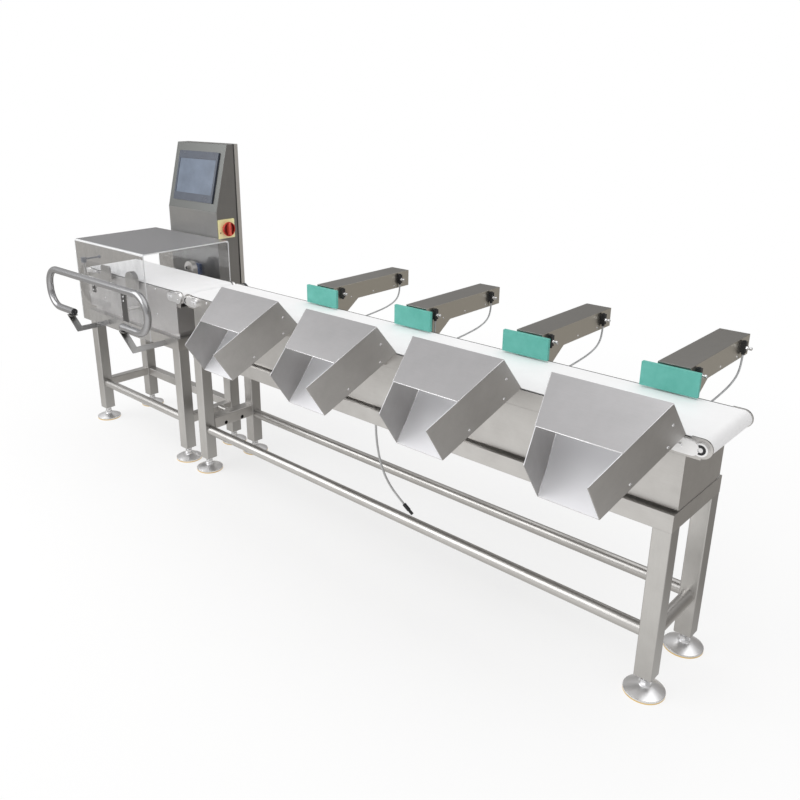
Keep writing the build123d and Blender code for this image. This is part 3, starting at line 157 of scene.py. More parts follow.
# %% [markdown]
# A finish is a small network of shader nodes. The first helpers make a material and its nodes, feed
# a socket with whatever it needs, and give noise that can be stretched into grain. Noise stays
# mostly between 0.3 and 0.7, so those are the usual limits when it is spread over a wider range.


# %% Finish helpers
def new_material(name, colour, metallic=0.0, roughness=0.5):
    material = bpy.data.materials.new(name)
    material.use_nodes = True
    shader = material.node_tree.nodes["Principled BSDF"]
    shader.inputs["Base Color"].default_value = (*colour, 1.0)
    shader.inputs["Metallic"].default_value = metallic
    shader.inputs["Roughness"].default_value = roughness
    return material, material.node_tree, shader


def add_node(tree, kind, **values):
    node = tree.nodes.new(kind)
    for key, value in values.items():
        if key in node.inputs:
            node.inputs[key].default_value = value
        else:
            setattr(node, key, value)
    return node


def feed(tree, socket, value):
    # A socket takes the output of another node, a colour or a plain number
    if isinstance(value, bpy.types.NodeSocket):
        tree.links.new(value, socket)
    elif isinstance(value, tuple):
        socket.default_value = (*value, 1.0)
    else:
        socket.default_value = value


def noise(tree, stretch, scale, detail=3.0, roughness=0.6):
    where = add_node(tree, "ShaderNodeTexCoord")
    fit = add_node(tree, "ShaderNodeMapping", Scale=stretch)
    pattern = add_node(tree, "ShaderNodeTexNoise", Scale=scale, Detail=detail, Roughness=roughness)
    tree.links.new(where.outputs["Object"], fit.inputs["Vector"])
    tree.links.new(fit.outputs["Vector"], pattern.inputs["Vector"])
    return pattern.outputs["Fac"]


def spread(tree, value, low, high, start=0.3, end=0.7):
    # The result runs from low to high while the value runs from start to end
    limits = add_node(tree, "ShaderNodeMapRange")
    for label, limit in zip(("From Min", "From Max", "To Min", "To Max"), (start, end, low, high)):
        limits.inputs[label].default_value = limit
    tree.links.new(value, limits.inputs["Value"])
    return limits.outputs["Result"]


print("finish helpers ready")

# %% [markdown]
# The second helpers put values, colours and whole finishes together. The direction of a face is a
# handy value for this: it tells the top of a sheet from its sides, wherever the piece stands.


# %% Mixing helpers
def mix(tree, kind, factor, first, second):
    mixer = add_node(tree, "ShaderNodeMix", data_type=kind)
    for label, value in (("Factor", factor), ("A", first), ("B", second)):
        feed(tree, mixer.inputs[label], value)
    return mixer.outputs["Result"]


def layer(tree, factor, below, above):
    mixer = add_node(tree, "ShaderNodeMixShader")
    for socket, value in zip(mixer.inputs, (factor, below, above)):
        tree.links.new(value, socket)
    return mixer.outputs["Shader"]


def maths(tree, operation, *values):
    node = add_node(tree, "ShaderNodeMath", operation=operation)
    for socket, value in zip(node.inputs, values):
        tree.links.new(value, socket)
    return node.outputs["Value"]


def face_directions(tree):
    shape = add_node(tree, "ShaderNodeNewGeometry")
    parts = add_node(tree, "ShaderNodeSeparateXYZ")
    tree.links.new(shape.outputs["Normal"], parts.inputs["Vector"])
    return parts.outputs


print("mixing helpers ready")

# %% [markdown]
# Stainless steel on food machines is brushed with a fine belt, so its scratches run one way and it
# reflects as a soft streak. A metal shader with noise stretched along the grain gives that. The
# grain usually runs along X, and across on faces that look along X, as on welded tube. Painting an
# image would tie it to one picture, and nodes scale to any size. Soft clouds of noise vary the
# colour at random and also paint soft cloudy reflections. Faces that look along X or upwards can
# have a colour of their own, which some steels below use for painted light and others for painted
# shade. The Bevel node rounds the light on every edge a little, because a real folded edge catches
# a highlight.

# %% Brushed steel
grain_stretch = {"X": (0.02, 1.0, 1.0), "Y": (1.0, 0.02, 1.0), "Z": (1.0, 1.0, 0.02)}
no_stretch = (1.0, 1.0, 1.0)
end_range, half_contrast = (0.55, 0.75), (0.1, 0.9)
cloud_share = 0.7


def brushed(name, dark, light, rough=(0.26, 0.42), grain=900.0, mottle=9.0, depth=0.00002,
            along="X", side_colour=None, top_colour=None, top_range=(0.65, 0.8), top_metallic=1.0,
            edge=0.0015):
    material, tree, shader = new_material(name, light, metallic=1.0, roughness=0.35)
    across_x = maths(tree, "ABSOLUTE", face_directions(tree)["X"])
    ends = spread(tree, across_x, 0.0, 1.0, *end_range)
    lines = noise(tree, grain_stretch[along], grain)
    if along == "X":
        lines = mix(tree, "FLOAT", ends, lines, noise(tree, grain_stretch["Y"], grain))
    # Random clouds vary colour and gloss; in the colour they also paint soft cloudy reflections.
    clouds = noise(tree, no_stretch, mottle, detail=5.0, roughness=0.65)
    both = mix(tree, "FLOAT", cloud_share, lines, clouds)
    colour = mix(tree, "RGBA", spread(tree, both, 0.0, 1.0, *half_contrast), dark, light)
    if side_colour:
        colour = mix(tree, "RGBA", ends, colour, side_colour)
    if top_colour:
        facing_up = face_directions(tree)["Z"]
        top = spread(tree, facing_up, 0.0, 1.0, *top_range)
        colour = mix(tree, "RGBA", top, colour, top_colour)
        if top_metallic < 1.0:
            metal = spread(tree, facing_up, 1.0, top_metallic, *top_range)
            tree.links.new(metal, shader.inputs["Metallic"])
    tree.links.new(colour, shader.inputs["Base Color"])
    gloss = spread(tree, both, rough[1], rough[0], *half_contrast)
    tree.links.new(gloss, shader.inputs["Roughness"])
    bump = add_node(tree, "ShaderNodeBump", Strength=0.15, Distance=depth)
    tree.links.new(lines, bump.inputs["Height"])
    rounded = add_node(tree, "ShaderNodeBevel", samples=4, Radius=edge)
    tree.links.new(rounded.outputs["Normal"], bump.inputs["Normal"])
    tree.links.new(bump.outputs["Normal"], shader.inputs["Normal"])
    return material


print("brushed steel ready")

# %% [markdown]
# The photograph shows several steels. Frames and plates are mid grey, and the cut edges on top of
# the side plates are painted nearly black, painted shade along the edge of the belt. The uprights
# have their grain along Z and painted shade on their faces that look along X; the pushers have
# theirs along Y and painted light on their sides that look along X. The upper faces of the chute
# slides are painted pale, painted light from above, and lose most of their metal. The tower is
# darker, its slope and top most of all as painted shade, and the outer strip of its door, the faces
# that look along X, carries a painted highlight. The arms of the push bar are painted darker, as
# painted shade. Sheets that are folded have softer edges than cut ones.

# %% Steels of the line
mid_steel = (0.46, 0.445, 0.43), (0.66, 0.65, 0.635)
dark_steel = (0.30, 0.30, 0.30), (0.46, 0.455, 0.445)
folded_edge = 0.0025
frame_steel = brushed("frame_steel", *mid_steel)
# Painted shade: upward faces, the cut edges on top of the side plates, are painted nearly black.
top_shaded_steel = brushed("top_shaded_steel", *mid_steel, top_colour=(0.10, 0.10, 0.10))
# Painted shade: faces of the legs that look along X are painted darker.
upright_steel = brushed(
    "upright_steel", (0.46, 0.45, 0.435), (0.66, 0.65, 0.635), along="Z",
    side_colour=(0.48, 0.475, 0.465),
)
sheet_steel = brushed(
    "sheet_steel", (0.60, 0.59, 0.59), (0.78, 0.77, 0.775), rough=(0.34, 0.5), edge=folded_edge
)
# Painted light: the upward faces of the slides are painted pale, and lose most of their metal.
slide_steel = brushed(
    "slide_steel", (0.41, 0.40, 0.39), (0.58, 0.57, 0.56), rough=(0.34, 0.5), mottle=11.0,
    top_colour=(0.94, 0.94, 0.97), top_metallic=0.1, edge=folded_edge,
)
cover_steel = brushed(
    "cover_steel", (0.40, 0.395, 0.40), (0.57, 0.56, 0.57), rough=(0.26, 0.38), mottle=8.0,
    edge=folded_edge,
)
# Painted shade: the upward faces, the tower's slope and top, are painted dark.
tower_steel = brushed(
    "tower_steel", *dark_steel, rough=(0.24, 0.4), mottle=5.0,
    top_colour=(0.175, 0.18, 0.175), top_range=(0.1, 0.2), edge=folded_edge,
)
# Painted highlight: the faces of the door that look along X are painted bright.
door_steel = brushed("door_steel", *dark_steel, side_colour=(0.86, 0.85, 0.82))
# Painted light: the sides of the pusher housings that look along X are painted a lighter warm grey.
pusher_steel = brushed(
    "pusher_steel", (0.29, 0.285, 0.27), (0.45, 0.44, 0.42), rough=(0.24, 0.36), mottle=6.0,
    depth=0.00001, along="Y", side_colour=(0.68, 0.65, 0.58), edge=0.002,
)
# Painted shade: the arms are a darker copy of the frame steel.
shaded_arm_steel = brushed("shaded_arm_steel", (0.26, 0.26, 0.26), (0.40, 0.395, 0.385))
print("ten brushed steels")

# %% [markdown]
# The push bar, the rods and the rollers are polished, so they show sharper reflections than the
# frames. Fine scuffs keep them from looking like a perfect mirror. The foot discs and the bearing
# blocks are turned and milled, and look almost white. The motor is cast aluminium, which is dull
# and grainy.

# %% Polished and machined metals
polished_steel = brushed(
    "polished_steel", (0.70, 0.70, 0.71), (0.88, 0.88, 0.89), rough=(0.12, 0.26), grain=500.0,
    mottle=22.0, depth=0.00001,
)
tube_steel = brushed(
    "tube_steel", (0.34, 0.34, 0.35), (0.48, 0.48, 0.49), rough=(0.18, 0.3), grain=600.0,
    mottle=16.0, depth=0.000008,
)
machined_steel = brushed(
    "machined_steel", (0.84, 0.84, 0.85), (0.97, 0.97, 0.98), rough=(0.26, 0.4), grain=500.0,
    mottle=22.0, edge=0.0004,
)
cast_aluminium = brushed(
    "cast_aluminium", (0.42, 0.43, 0.44), (0.58, 0.59, 0.60), rough=(0.4, 0.6), grain=300.0,
    mottle=60.0,
)
print("polished steel, tube steel, machined steel and cast aluminium")

# %% [markdown]
# The belts are white food-grade polyurethane. Its colour greys faintly where packs slide, and its
# fine bump is the fabric that shows through. The other plastics use the same network with their
# own colour, gloss and scale. A clear coat gives the screen its shine.


# %% Belts and plastics
def plastic(name, dark, light, rough=(0.35, 0.5), mottle=20.0, depth=0.00005, coat=0.0):
    material, tree, shader = new_material(name, light, roughness=rough[0])
    clouds = noise(tree, no_stretch, mottle, detail=4.0)
    fine = noise(tree, no_stretch, 600.0, detail=2.0)
    colour = mix(tree, "RGBA", spread(tree, clouds, 0.0, 1.0), dark, light)
    tree.links.new(colour, shader.inputs["Base Color"])
    tree.links.new(spread(tree, clouds, rough[1], rough[0]), shader.inputs["Roughness"])
    bump = add_node(tree, "ShaderNodeBump", Strength=0.3, Distance=depth)
    tree.links.new(fine, bump.inputs["Height"])
    tree.links.new(bump.outputs["Normal"], shader.inputs["Normal"])
    shader.inputs["Coat Weight"].default_value = coat
    return material


smooth = 0.00001
belt_white = plastic("belt_white", (0.88, 0.88, 0.885), (0.94, 0.94, 0.95), (0.45, 0.6), mottle=7.0)
pad_rubber = plastic("pad_rubber", (0.72, 0.48, 0.16), (0.85, 0.62, 0.28), (0.6, 0.75))
pusher_green = plastic(
    "pusher_green", (0.10, 0.43, 0.36), (0.14, 0.50, 0.43), (0.38, 0.5), mottle=25.0
)
black_plastic = plastic(
    "black_plastic", (0.012, 0.012, 0.014), (0.03, 0.03, 0.033), (0.35, 0.5), depth=smooth
)
lever_grey = plastic("lever_grey", (0.09, 0.10, 0.12), (0.14, 0.15, 0.18), (0.3, 0.42))
hose_grey = plastic("hose_grey", (0.42, 0.43, 0.44), (0.56, 0.57, 0.58), (0.25, 0.35))
cable_grey = plastic("cable_grey", (0.46, 0.46, 0.46), (0.58, 0.58, 0.58), (0.5, 0.6))
screen_bezel = plastic(
    "screen_bezel", (0.05, 0.06, 0.085), (0.07, 0.085, 0.115), (0.18, 0.3), coat=0.3
)
display_glass = plastic(
    "display_glass", (0.09, 0.12, 0.17), (0.16, 0.20, 0.27), (0.12, 0.2), mottle=9.0, coat=0.6
)
switch_yellow = plastic(
    "switch_yellow", (0.96, 0.93, 0.46), (0.98, 0.96, 0.58), (0.3, 0.4), depth=smooth
)
switch_red = plastic(
    "switch_red", (0.50, 0.025, 0.015), (0.64, 0.04, 0.025), (0.28, 0.4), depth=smooth
)
lit_grip_red = plastic("lit_grip_red", (0.72, 0.09, 0.06), (0.84, 0.13, 0.09), (0.25, 0.35), depth=smooth)
shaded_recess_red = plastic("shaded_recess_red", (0.16, 0.008, 0.005), (0.24, 0.012, 0.008), (0.4, 0.5))
connector_blue = plastic("connector_blue", (0.04, 0.07, 0.16), (0.06, 0.10, 0.22), (0.3, 0.45))
print("belts and plastics ready")

# %% [markdown]
# The cover is a sheet of clear acrylic. Its sawn ends and its bends get a pale matt film, a painted
# glow that stands for light leaving the acrylic there. Its upward faces get a grey matt film,
# painted shade that greys the top, and faint smears lie over every face. Layers over a glass
# shader, driven by the direction of the face, give both. Glass stops lamp light in a path tracer,
# so rays of light pass through a transparent shader instead, and the belt under the cover stays
# bright.

# %% Clear acrylic
clear_acrylic, acrylic, acrylic_glass = new_material(
    "clear_acrylic", (0.97, 0.975, 0.98), roughness=0.0
)
acrylic_glass.inputs["Transmission Weight"].default_value = 1.0
acrylic_glass.inputs["IOR"].default_value = 1.4


def matt_film(colour, roughness):
    film = add_node(acrylic, "ShaderNodeBsdfPrincipled", Roughness=roughness)
    feed(acrylic, film.inputs["Base Color"], colour)
    return film.outputs["BSDF"]


directions = face_directions(acrylic)
across_x, across_y, across_z = (maths(acrylic, "ABSOLUTE", directions[axis]) for axis in "XYZ")
# Painted shade: upward faces of the cover get a dark grey matt film.
painted_top_shade = spread(acrylic, across_z, 0.0, 0.66, 0.8, 0.99)
smears = spread(acrylic, noise(acrylic, (3.0, 0.6, 1.0), 5.0, detail=4.0), 0.02, 0.11)
top_shade_and_smears = maths(acrylic, "MAXIMUM", painted_top_shade, smears)
shaded_and_smeared = layer(acrylic, top_shade_and_smears, acrylic_glass.outputs["BSDF"], matt_film((0.18, 0.18, 0.19), 0.3))
# Painted glow: bends and sawn ends get a pale matt film.
bends = spread(acrylic, maths(acrylic, "MULTIPLY", across_y, across_z), 0.0, 0.6, 0.1, 0.4)
sawn_ends = spread(acrylic, across_x, 0.0, 0.85, 0.6, 0.9)
edge_glow = maths(acrylic, "MAXIMUM", bends, sawn_ends)
edged = layer(acrylic, edge_glow, shaded_and_smeared, matt_film((0.84, 0.85, 0.86), 0.5))
rays = add_node(acrylic, "ShaderNodeLightPath").outputs
lamp_rays = maths(acrylic, "MAXIMUM", rays["Is Shadow Ray"], rays["Is Diffuse Ray"])
let_through = add_node(acrylic, "ShaderNodeBsdfTransparent", Color=(0.93, 0.93, 0.93, 1.0))
whole = layer(acrylic, lamp_rays, edged, let_through.outputs["BSDF"])
acrylic.links.new(whole, acrylic.nodes["Material Output"].inputs["Surface"])
print("acrylic with glowing edges and a hazy top")

# %% [markdown]
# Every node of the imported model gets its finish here. The lists say which real pieces share one.

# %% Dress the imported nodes
finishes = {
    upright_steel: ["sorter_legs", "weigh_legs"],
    tower_steel: ["tower_column"],
    door_steel: ["tower_door"],
    shaded_arm_steel: ["handle_arms"],
    sheet_steel: ["weigh_base"],
    top_shaded_steel: ["conveyor_side_plates", "belt_beds"],
    frame_steel: [
        "sorter_top_rails", "weigh_top_rails", "lower_stretchers", "sorter_housing",
        "chute_brackets", "cover_brackets", "infeed_bracket", "photo_eyes",
    ],
    pusher_steel: ["pusher_housings"],
    slide_steel: ["chute_tray_1", "chute_tray_2", "chute_tray_3", "chute_tray_4"],
    cover_steel: ["chute_covers"],
    machined_steel: ["levelling_foot_discs", "roller_bearing_blocks"],
    lever_grey: ["clamp_lever"],
    tube_steel: ["handle_tube"],
    polished_steel: [
        "levelling_foot_spindles", "sorter_tail_roller", "sorter_drive_roller",
        "weigh_drive_roller", "weigh_tail_roller", "pusher_rods_1", "pusher_rods_2",
        "pusher_rods_3", "pusher_rods_4",
    ],
    cast_aluminium: ["sorter_drive_motor", "motor_pulley", "pusher_cylinders", "load_cell"],
    belt_white: ["sorter_belt", "weigh_belt"],
    pad_rubber: ["levelling_foot_pads"],
    pusher_green: ["pusher_plate_1", "pusher_plate_2", "pusher_plate_3", "pusher_plate_4"],
    black_plastic: ["drive_belt", "pusher_fittings", "cable_plug"],
    screen_bezel: ["touch_screen"],
    switch_yellow: ["switch_plate"],
    switch_red: ["switch_knob"],
    connector_blue: ["connector_box"],
    clear_acrylic: ["clear_cover"],
}
dressed = set()
for finish, names in finishes.items():
    for name in names:
        mesh = nodes[name].data
        mesh.materials.clear()
        mesh.materials.append(finish)
        dressed.add(name)
for hose in hoses:
    hose.data.materials.append(hose_grey)
hanging_cable.data.materials.append(cable_grey)
print(len(dressed), "nodes dressed; left for curves:", sorted(set(nodes) - dressed))

# %% [markdown]
# Screws, nuts, rings and caps are all turned shapes: a profile spun round an axis. A Screw modifier
# could spin each one, but that takes an object for every screw. One function builds them instead,
# from radii and heights in millimetres, and many of them share a mesh. With six sides it makes a
# nut. It calls a plainer one that skins any row of rings, which also serves shapes that are not
# round.


# %% Turned shapes
sharp_fold = math.radians(40)


def skin(shape, rings):
    # Faces between neighbouring rings, and one face over each end
    for lower, upper in zip(rings, rings[1:]):
        for step in range(len(lower)):
            after = (step + 1) % len(lower)
            shape.faces.new((lower[step], lower[after], upper[after], upper[step]))
    shape.faces.new(list(reversed(rings[0])))
    shape.faces.new(rings[-1])


def turned(shape, profile, centre, direction, sides=20):
    turn = Vector(direction).to_track_quat("Z", "Y")
    rings = []
    for radius, height in profile:
        ring = []
        for step in range(sides):
            angle = 2 * math.pi * step / sides
            spot = Vector((radius * math.cos(angle), radius * math.sin(angle), height)) / 1000
            ring.append(shape.verts.new(centre + turn @ spot))
        rings.append(ring)
    skin(shape, rings)


def screw_head(shape, centre, direction, radius):
    # A domed head with a hexagon socket
    socket = radius * 0.45
    turned(shape, [
        (radius, -0.5), (radius, radius * 0.25), (radius * 0.8, radius * 0.5),
        (socket, radius * 0.62), (socket, radius * 0.2), (socket * 0.5, radius * 0.12),
    ], centre, direction)


def new_piece(name, shape, finish, body="base"):
    mesh = bpy.data.meshes.new(name)
    shape.to_mesh(mesh)
    shape.free()
    mesh.materials.append(finish)
    mesh.shade_smooth()
    mesh.set_sharp_from_angle(angle=sharp_fold)
    piece = bpy.data.objects.new(name, mesh)
    bpy.context.scene.collection.objects.link(piece)
    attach(piece, body)
    return piece


print("turned shapes ready")

# %% [markdown]
# A chute slopes at 34 degrees and widens from its outlet to the belt. One helper gives half its
# width at a distance up the slope, and another turns a distance across, up and off the slope into
# a place in the model. What is set out with them sits on its sheet at any height, which would take
# much fitting by eye.

# %% Places on a chute
slope = math.radians(34)
along_slope = Vector((0, math.cos(slope), math.sin(slope)))
off_slope = Vector((0, -math.sin(slope), math.cos(slope)))
outlet_offset, outlet_height = -385.44, 607.19
outlet_half, chute_widening, chute_length = 81, 77, 284


def chute_half(up):
    return outlet_half + chute_widening * up / chute_length


def chute_spot(station, across, up, lift):
    outlet = Vector((station + across, outlet_offset, outlet_height))
    return place(*(outlet + up * along_slope + lift * off_slope))


print("chute is", 2 * outlet_half, "to", 2 * chute_half(chute_length), "mm wide")

# %% [markdown]
# Button head screws hold the sheets. On the chutes they sit beside the gussets, on the pushers
# along the lower edge of the housing, and on the cover where it meets its brackets. More of them
# hold the weighing tray and the side plates of the sorting belt. Their places were measured in the
# photograph on the plane of each sheet. Bump in the material could suggest a screw, but only a real
# head stands out from the side and catches its own point of light.

# %% Screws
both_hands = (-1, 1)
chute_screws = bmesh.new()
for station in pusher_stations:
    for hand in both_hands:
        outward = Vector((hand, 0, 0)) * chute_length - chute_widening * along_slope
        for up, lift in ((254, 69), (226, 16), (102, 18)):
            spot = chute_spot(station, hand * chute_half(up), up, lift)
            screw_head(chute_screws, spot, outward.normalized(), 4.0)
new_piece("chute_screws", chute_screws, polished_steel)

pusher_half, screw_height = 45, 779
pusher_screws = bmesh.new()
for station in pusher_stations:
    for hand in both_hands:
        for offset in (224, 348, 472):
            spot = place(station + hand * pusher_half, offset, screw_height)
            screw_head(pusher_screws, spot, (hand, 0, 0), 3.5)
new_piece("pusher_screws", pusher_screws, polished_steel)


def screws_on_both_sides(shape, spots, offset, radius):
    for station, height in spots:
        for hand in both_hands:
            screw_head(shape, place(station, hand * offset, height), (0, hand, 0), radius)


cover_half, tray_half, plate_half = 217, 133, 130
cover_screws = ((-2648, 713), (-2648, 693), (-2395, 702), (-2395, 684))
tray_screws = ((-2270, 741), (-2270, 631), (-2700, 741), (-2700, 631))
plate_screws = [(station, 741) for station in range(-1908, 0, pusher_pitch)]
sheet_screws = bmesh.new()
screws_on_both_sides(sheet_screws, cover_screws, cover_half, 4.5)
screws_on_both_sides(sheet_screws, tray_screws, tray_half, 4.0)
screws_on_both_sides(sheet_screws, plate_screws, plate_half, 4.5)
new_piece("sheet_screws", sheet_screws, polished_steel)
print("screws on chutes, pushers, cover, tray and side plates")

# %% [markdown]
# Along the folds of each chute the light draws thin bright lines: two on top, two in the corners
# of the slide, and one along the front edge of the cover. Thin polished rods, sunk by half into the
# sheets, are put there as painted highlights. A painted line would have to be mapped onto every
# sheet, and it would not stand out from the fold.


# %% Painted highlight rods along the chute folds
def highlight_rod(shape, start, end):
    radius, taper = 1.2, 0.4
    length = (end - start).length * 1000
    profile = [(radius * taper, 0), (radius, 2), (radius, length - 2), (radius * taper, length)]
    turned(shape, profile, start, end - start, 10)


cover_front, cover_back, cover_lift = 108, 269, 131
slide_end, slide_corner = 280, 2.4
highlight_runs = (
    (cover_front, cover_back, 0.0, cover_lift), (0, slide_end, slide_corner, slide_corner)
)
fold_highlights = bmesh.new()
for station in pusher_stations:
    for hand in both_hands:
        for low, high, inset, lift in highlight_runs:
            start, end = (
                chute_spot(station, hand * (chute_half(up) - inset), up, lift) for up in (low, high)
            )
            highlight_rod(fold_highlights, start, end)
    start, end = (
        chute_spot(station, hand * chute_half(cover_front), cover_front, cover_lift)
        for hand in both_hands
    )
    highlight_rod(fold_highlights, start, end)
# Painted highlights: polished rods along the folds give the bright fold lines.
new_piece("chute_fold_highlights", fold_highlights, polished_steel)
print(len(pusher_stations) * 5, "welds and hems")

# %% [markdown]
# On the far side the edge of the side plate stands level with the belt and shows as a thin dark
# line of shade. A black plastic strip on top of the plate raises the edge and paints that shade:
# one outline at each end, skinned. The outline has its outer corner cut off, so that no sharp line
# shows there.

# %% Edge strip with painted shade
strip = bmesh.new()
strip_profile = [(125.6, 751.9), (129.8, 751.9), (129.8, 754.6), (129.2, 755.2), (125.6, 755.2)]
strip_stations = (-2030, 8)
skin(strip, [
    [strip.verts.new(place(station, *spot)) for spot in strip_profile] for station in strip_stations
])
bmesh.ops.recalc_face_normals(strip, faces=strip.faces)
# Painted shade: the black strip darkens the far edge of the belt.
new_piece("far_edge_shade_strip", strip, black_plastic)
print("edge strip", strip_stations[1] - strip_stations[0], "mm long")

# %% [markdown]
# Each air fitting screws into its cylinder with a bright nut, and ends in a stop screw. Two nuts
# beside the near end of each pusher clamp the guide plate. The same four profiles serve all of the
# pushers, so they are turned in one loop into one mesh.

# %% Nuts on the pushers
fitting_nut = [(7.0, 0), (7.0, 5)]
stop_screw = [(3.5, 5), (3.5, 9), (5.0, 10.5), (5.0, 15), (3.0, 17)]
guide_nut = [(6.0, 0), (6.0, 5)]
guide_bolt = [(3.0, 5), (3.0, 8)]
fitting_end, fitting_height, guide_offset = 59, 803, 139
pusher_nuts = bmesh.new()
for station in pusher_stations:
    for offset in (170, 498):
        outlet = place(station + fitting_end, offset, fitting_height)
        turned(pusher_nuts, fitting_nut, outlet, (1, 0, 0), 6)
        turned(pusher_nuts, stop_screw, outlet, (1, 0, 0), 16)
    for height in (792, 775):
        bolt = place(station + pusher_half, guide_offset, height)
        turned(pusher_nuts, guide_nut, bolt, (1, 0, 0), 6)
        turned(pusher_nuts, guide_bolt, bolt, (1, 0, 0), 16)
new_piece("pusher_nuts", pusher_nuts, polished_steel)
print("nuts for", len(pusher_stations), "pushers")

# %% [markdown]
# Dark parts finish the tubes and holes: a plastic plug closes each end of the push bar, a rubber
# seal sits round each shaft of the sorting belt, and the cable leaves the housing through a gland
# that tapers, so it cannot kink at the hole. Moulded parts have steps and slopes and no sharp rims,
# so each profile has a point for every one of them.

# %% Plugs, seals and gland
plugs = bmesh.new()
plug_profile = [(12.0, -6), (12.0, 0), (15.4, 0), (15.4, 2), (12.5, 4), (4.0, 4.6)]
push_bar_offset = -300
turned(plugs, plug_profile, place(-2693, push_bar_offset, 597), (1, 0, 0), 28)
turned(plugs, plug_profile, place(-2277, push_bar_offset, 609), (-1, 0, 0), 28)
new_piece("push_bar_plugs", plugs, black_plastic)

seals = bmesh.new()
seal_profile = [(12.5, -0.5), (12.5, 0.7), (11.5, 1.2), (10.0, 0.9), (9.5, 0.2)]
shaft_end, shaft_height = -139, 731.5
for roller_station in (34.5, -2036.5):
    turned(seals, seal_profile, place(roller_station, shaft_end, shaft_height), (0, -1, 0), 28)
new_piece("shaft_seals", seals, black_plastic)

gland = bmesh.new()
sleeve_profile = [(9.5, 7), (9.5, 13), (8.0, 18), (5.6, 34), (4.4, 36)]
frame_top = 550
gland_place = place(cable_station, 0, frame_top)
turned(gland, [(11, 0), (11, 7)], gland_place, (0, 0, -1), 6)
turned(gland, sleeve_profile, gland_place, (0, 0, -1))
new_piece("cable_gland", gland, black_plastic)
print("two plugs, two seals, one gland")

# %% [markdown]
# The main switch is a moulded knob. Its skirt flares to a round rim, and a grip with rounded ends,
# painted a lighter red as painted light, stands in the recess inside the rim, which is painted dark
# red as painted shade. The drawing keeps a plain disc and bar for it. The skirt is turned, and the
# grip is one outline lofted through three heights, so its edges come out soft.

# %% Switch knob
knob_station, knob_offset, knob_height = -2298.6, 279, 943
knob_middle = place(knob_station, knob_offset, knob_height)
knob = bmesh.new()
turned(knob, [
    (23, 0), (23, 4), (26, 8), (31, 13), (32, 16), (32, 21), (31, 22.5), (29.4, 22.5), (28.4, 21),
    (27.6, 12), (4, 11),
], knob_middle, (1, 0, 0), 48)
skirt = new_piece("knob_skirt", knob, switch_red, "knob")
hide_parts("switch_knob")

# Painted shade: the recess ring is painted dark red.
recess = bmesh.new()
recess_profile = [(27.5, 12.4), (27.5, 19), (27.0, 19), (26.8, 13), (4, 12.6)]
turned(recess, recess_profile, knob_middle, (1, 0, 0), 48)
new_piece("knob_recess", recess, shaded_recess_red, "knob")

# Painted light: the grip is painted a lighter red than the skirt.
grip = bmesh.new()
grip_half_length, grip_half_width, end_steps = 23, 7, 8
grip_rings = []
for rise, shrink in ((11, 0.0), (28, 1.0), (30, 3.0)):
    ring = []
    radius = grip_half_width - shrink
    for end in (1, -1):
        for step in range(end_steps + 1):
            angle = math.pi * (step / end_steps + (end < 0))
            height = grip_half_length * end + radius * math.sin(angle)
            spot = Vector((rise, radius * math.cos(angle), height)) / 1000
            ring.append(grip.verts.new(knob_middle + spot))
    grip_rings.append(ring)
skin(grip, grip_rings)
new_piece("knob_grip", grip, lit_grip_red, "knob")

keyhole = bmesh.new()
keyhole_spot = place(knob_station, knob_offset - 34, knob_height - 16)
turned(keyhole, [(3.0, -0.5), (3.0, 0.3)], keyhole_spot, (1, 0, 0), 16)
new_piece("switch_keyhole", keyhole, black_plastic)
print("knob skirt, recess and grip, and a keyhole below")

# %% [markdown]
# The rubber pad under each foot is moulded round the edge of the disc, so its lip shows all round
# as a thin yellow band. The rolled rim of the disc catches a line of light above it. A band of
# another colour on the disc would leave its edge flat, so both are turned.

# %% Foot lips and rims
leg_stations, leg_offsets = (-2817.9, -2127.9, -1974.9, -24.9), (-125, 125)
lip_profile = [(54.0, 0.1), (54.9, 1.0), (54.9, 5.4), (54.0, 5.6)]
rim_profile = [(54.6, 7.9), (55.0, 8.6), (54.9, 9.4), (54.0, 9.9), (53.0, 9.7)]
lips, rims = bmesh.new(), bmesh.new()
for station in leg_stations:
    for offset in leg_offsets:
        foot = place(station, offset, 0)
        turned(lips, lip_profile, foot, (0, 0, 1), 48)
        turned(rims, rim_profile, foot, (0, 0, 1), 48)
new_piece("foot_lips", lips, pad_rubber)
new_piece("foot_rims", rims, polished_steel)
print("lips and rims on", len(leg_stations) * len(leg_offsets), "feet")

# %% [markdown]
# The display is a sheet of glass set back in its dark bezel, on the slope of the tower. It is one
# face, laid out along the slope's own directions, so it lies true in the bezel. It stays blank, as
# on a machine that is switched off. The photo eyes look across the belt through small dark lenses.

# %% Display and lenses
slope_back, slope_rise = 78, 290
lean = math.atan2(slope_back, slope_rise)
screen_right = Vector((1, 0, 0))
screen_up = Vector((0, math.sin(lean), math.cos(lean)))
screen_out = Vector((0, -math.cos(lean), math.sin(lean)))
slope_foot = Vector((-2489.5, 230, 1019))
screen_middle, glass_lift = 149, 5.9
glass_half_width, glass_half_height = 136, 78
display = bmesh.new()
corners = []
for side, end in ((-1, -1), (1, -1), (1, 1), (-1, 1)):
    across, up = side * glass_half_width, screen_middle + end * glass_half_height
    spot = slope_foot + across * screen_right + up * screen_up
    corners.append(display.verts.new(place(*(spot + glass_lift * screen_out))))
display.faces.new(corners)
new_piece("display_glass", display, display_glass)

lenses = bmesh.new()
lens_profile = [(7.5, 0), (7.5, 1.0), (6.0, 1.6), (2.0, 2.0)]
eye_station, eye_offset, eye_height = -2417, 128, 770
for hand in both_hands:
    eye = place(eye_station, hand * eye_offset, eye_height)
    turned(lenses, lens_profile, eye, (0, -hand, 0), 24)
new_piece("photo_eye_lenses", lenses, black_plastic)
print("display and two lenses")

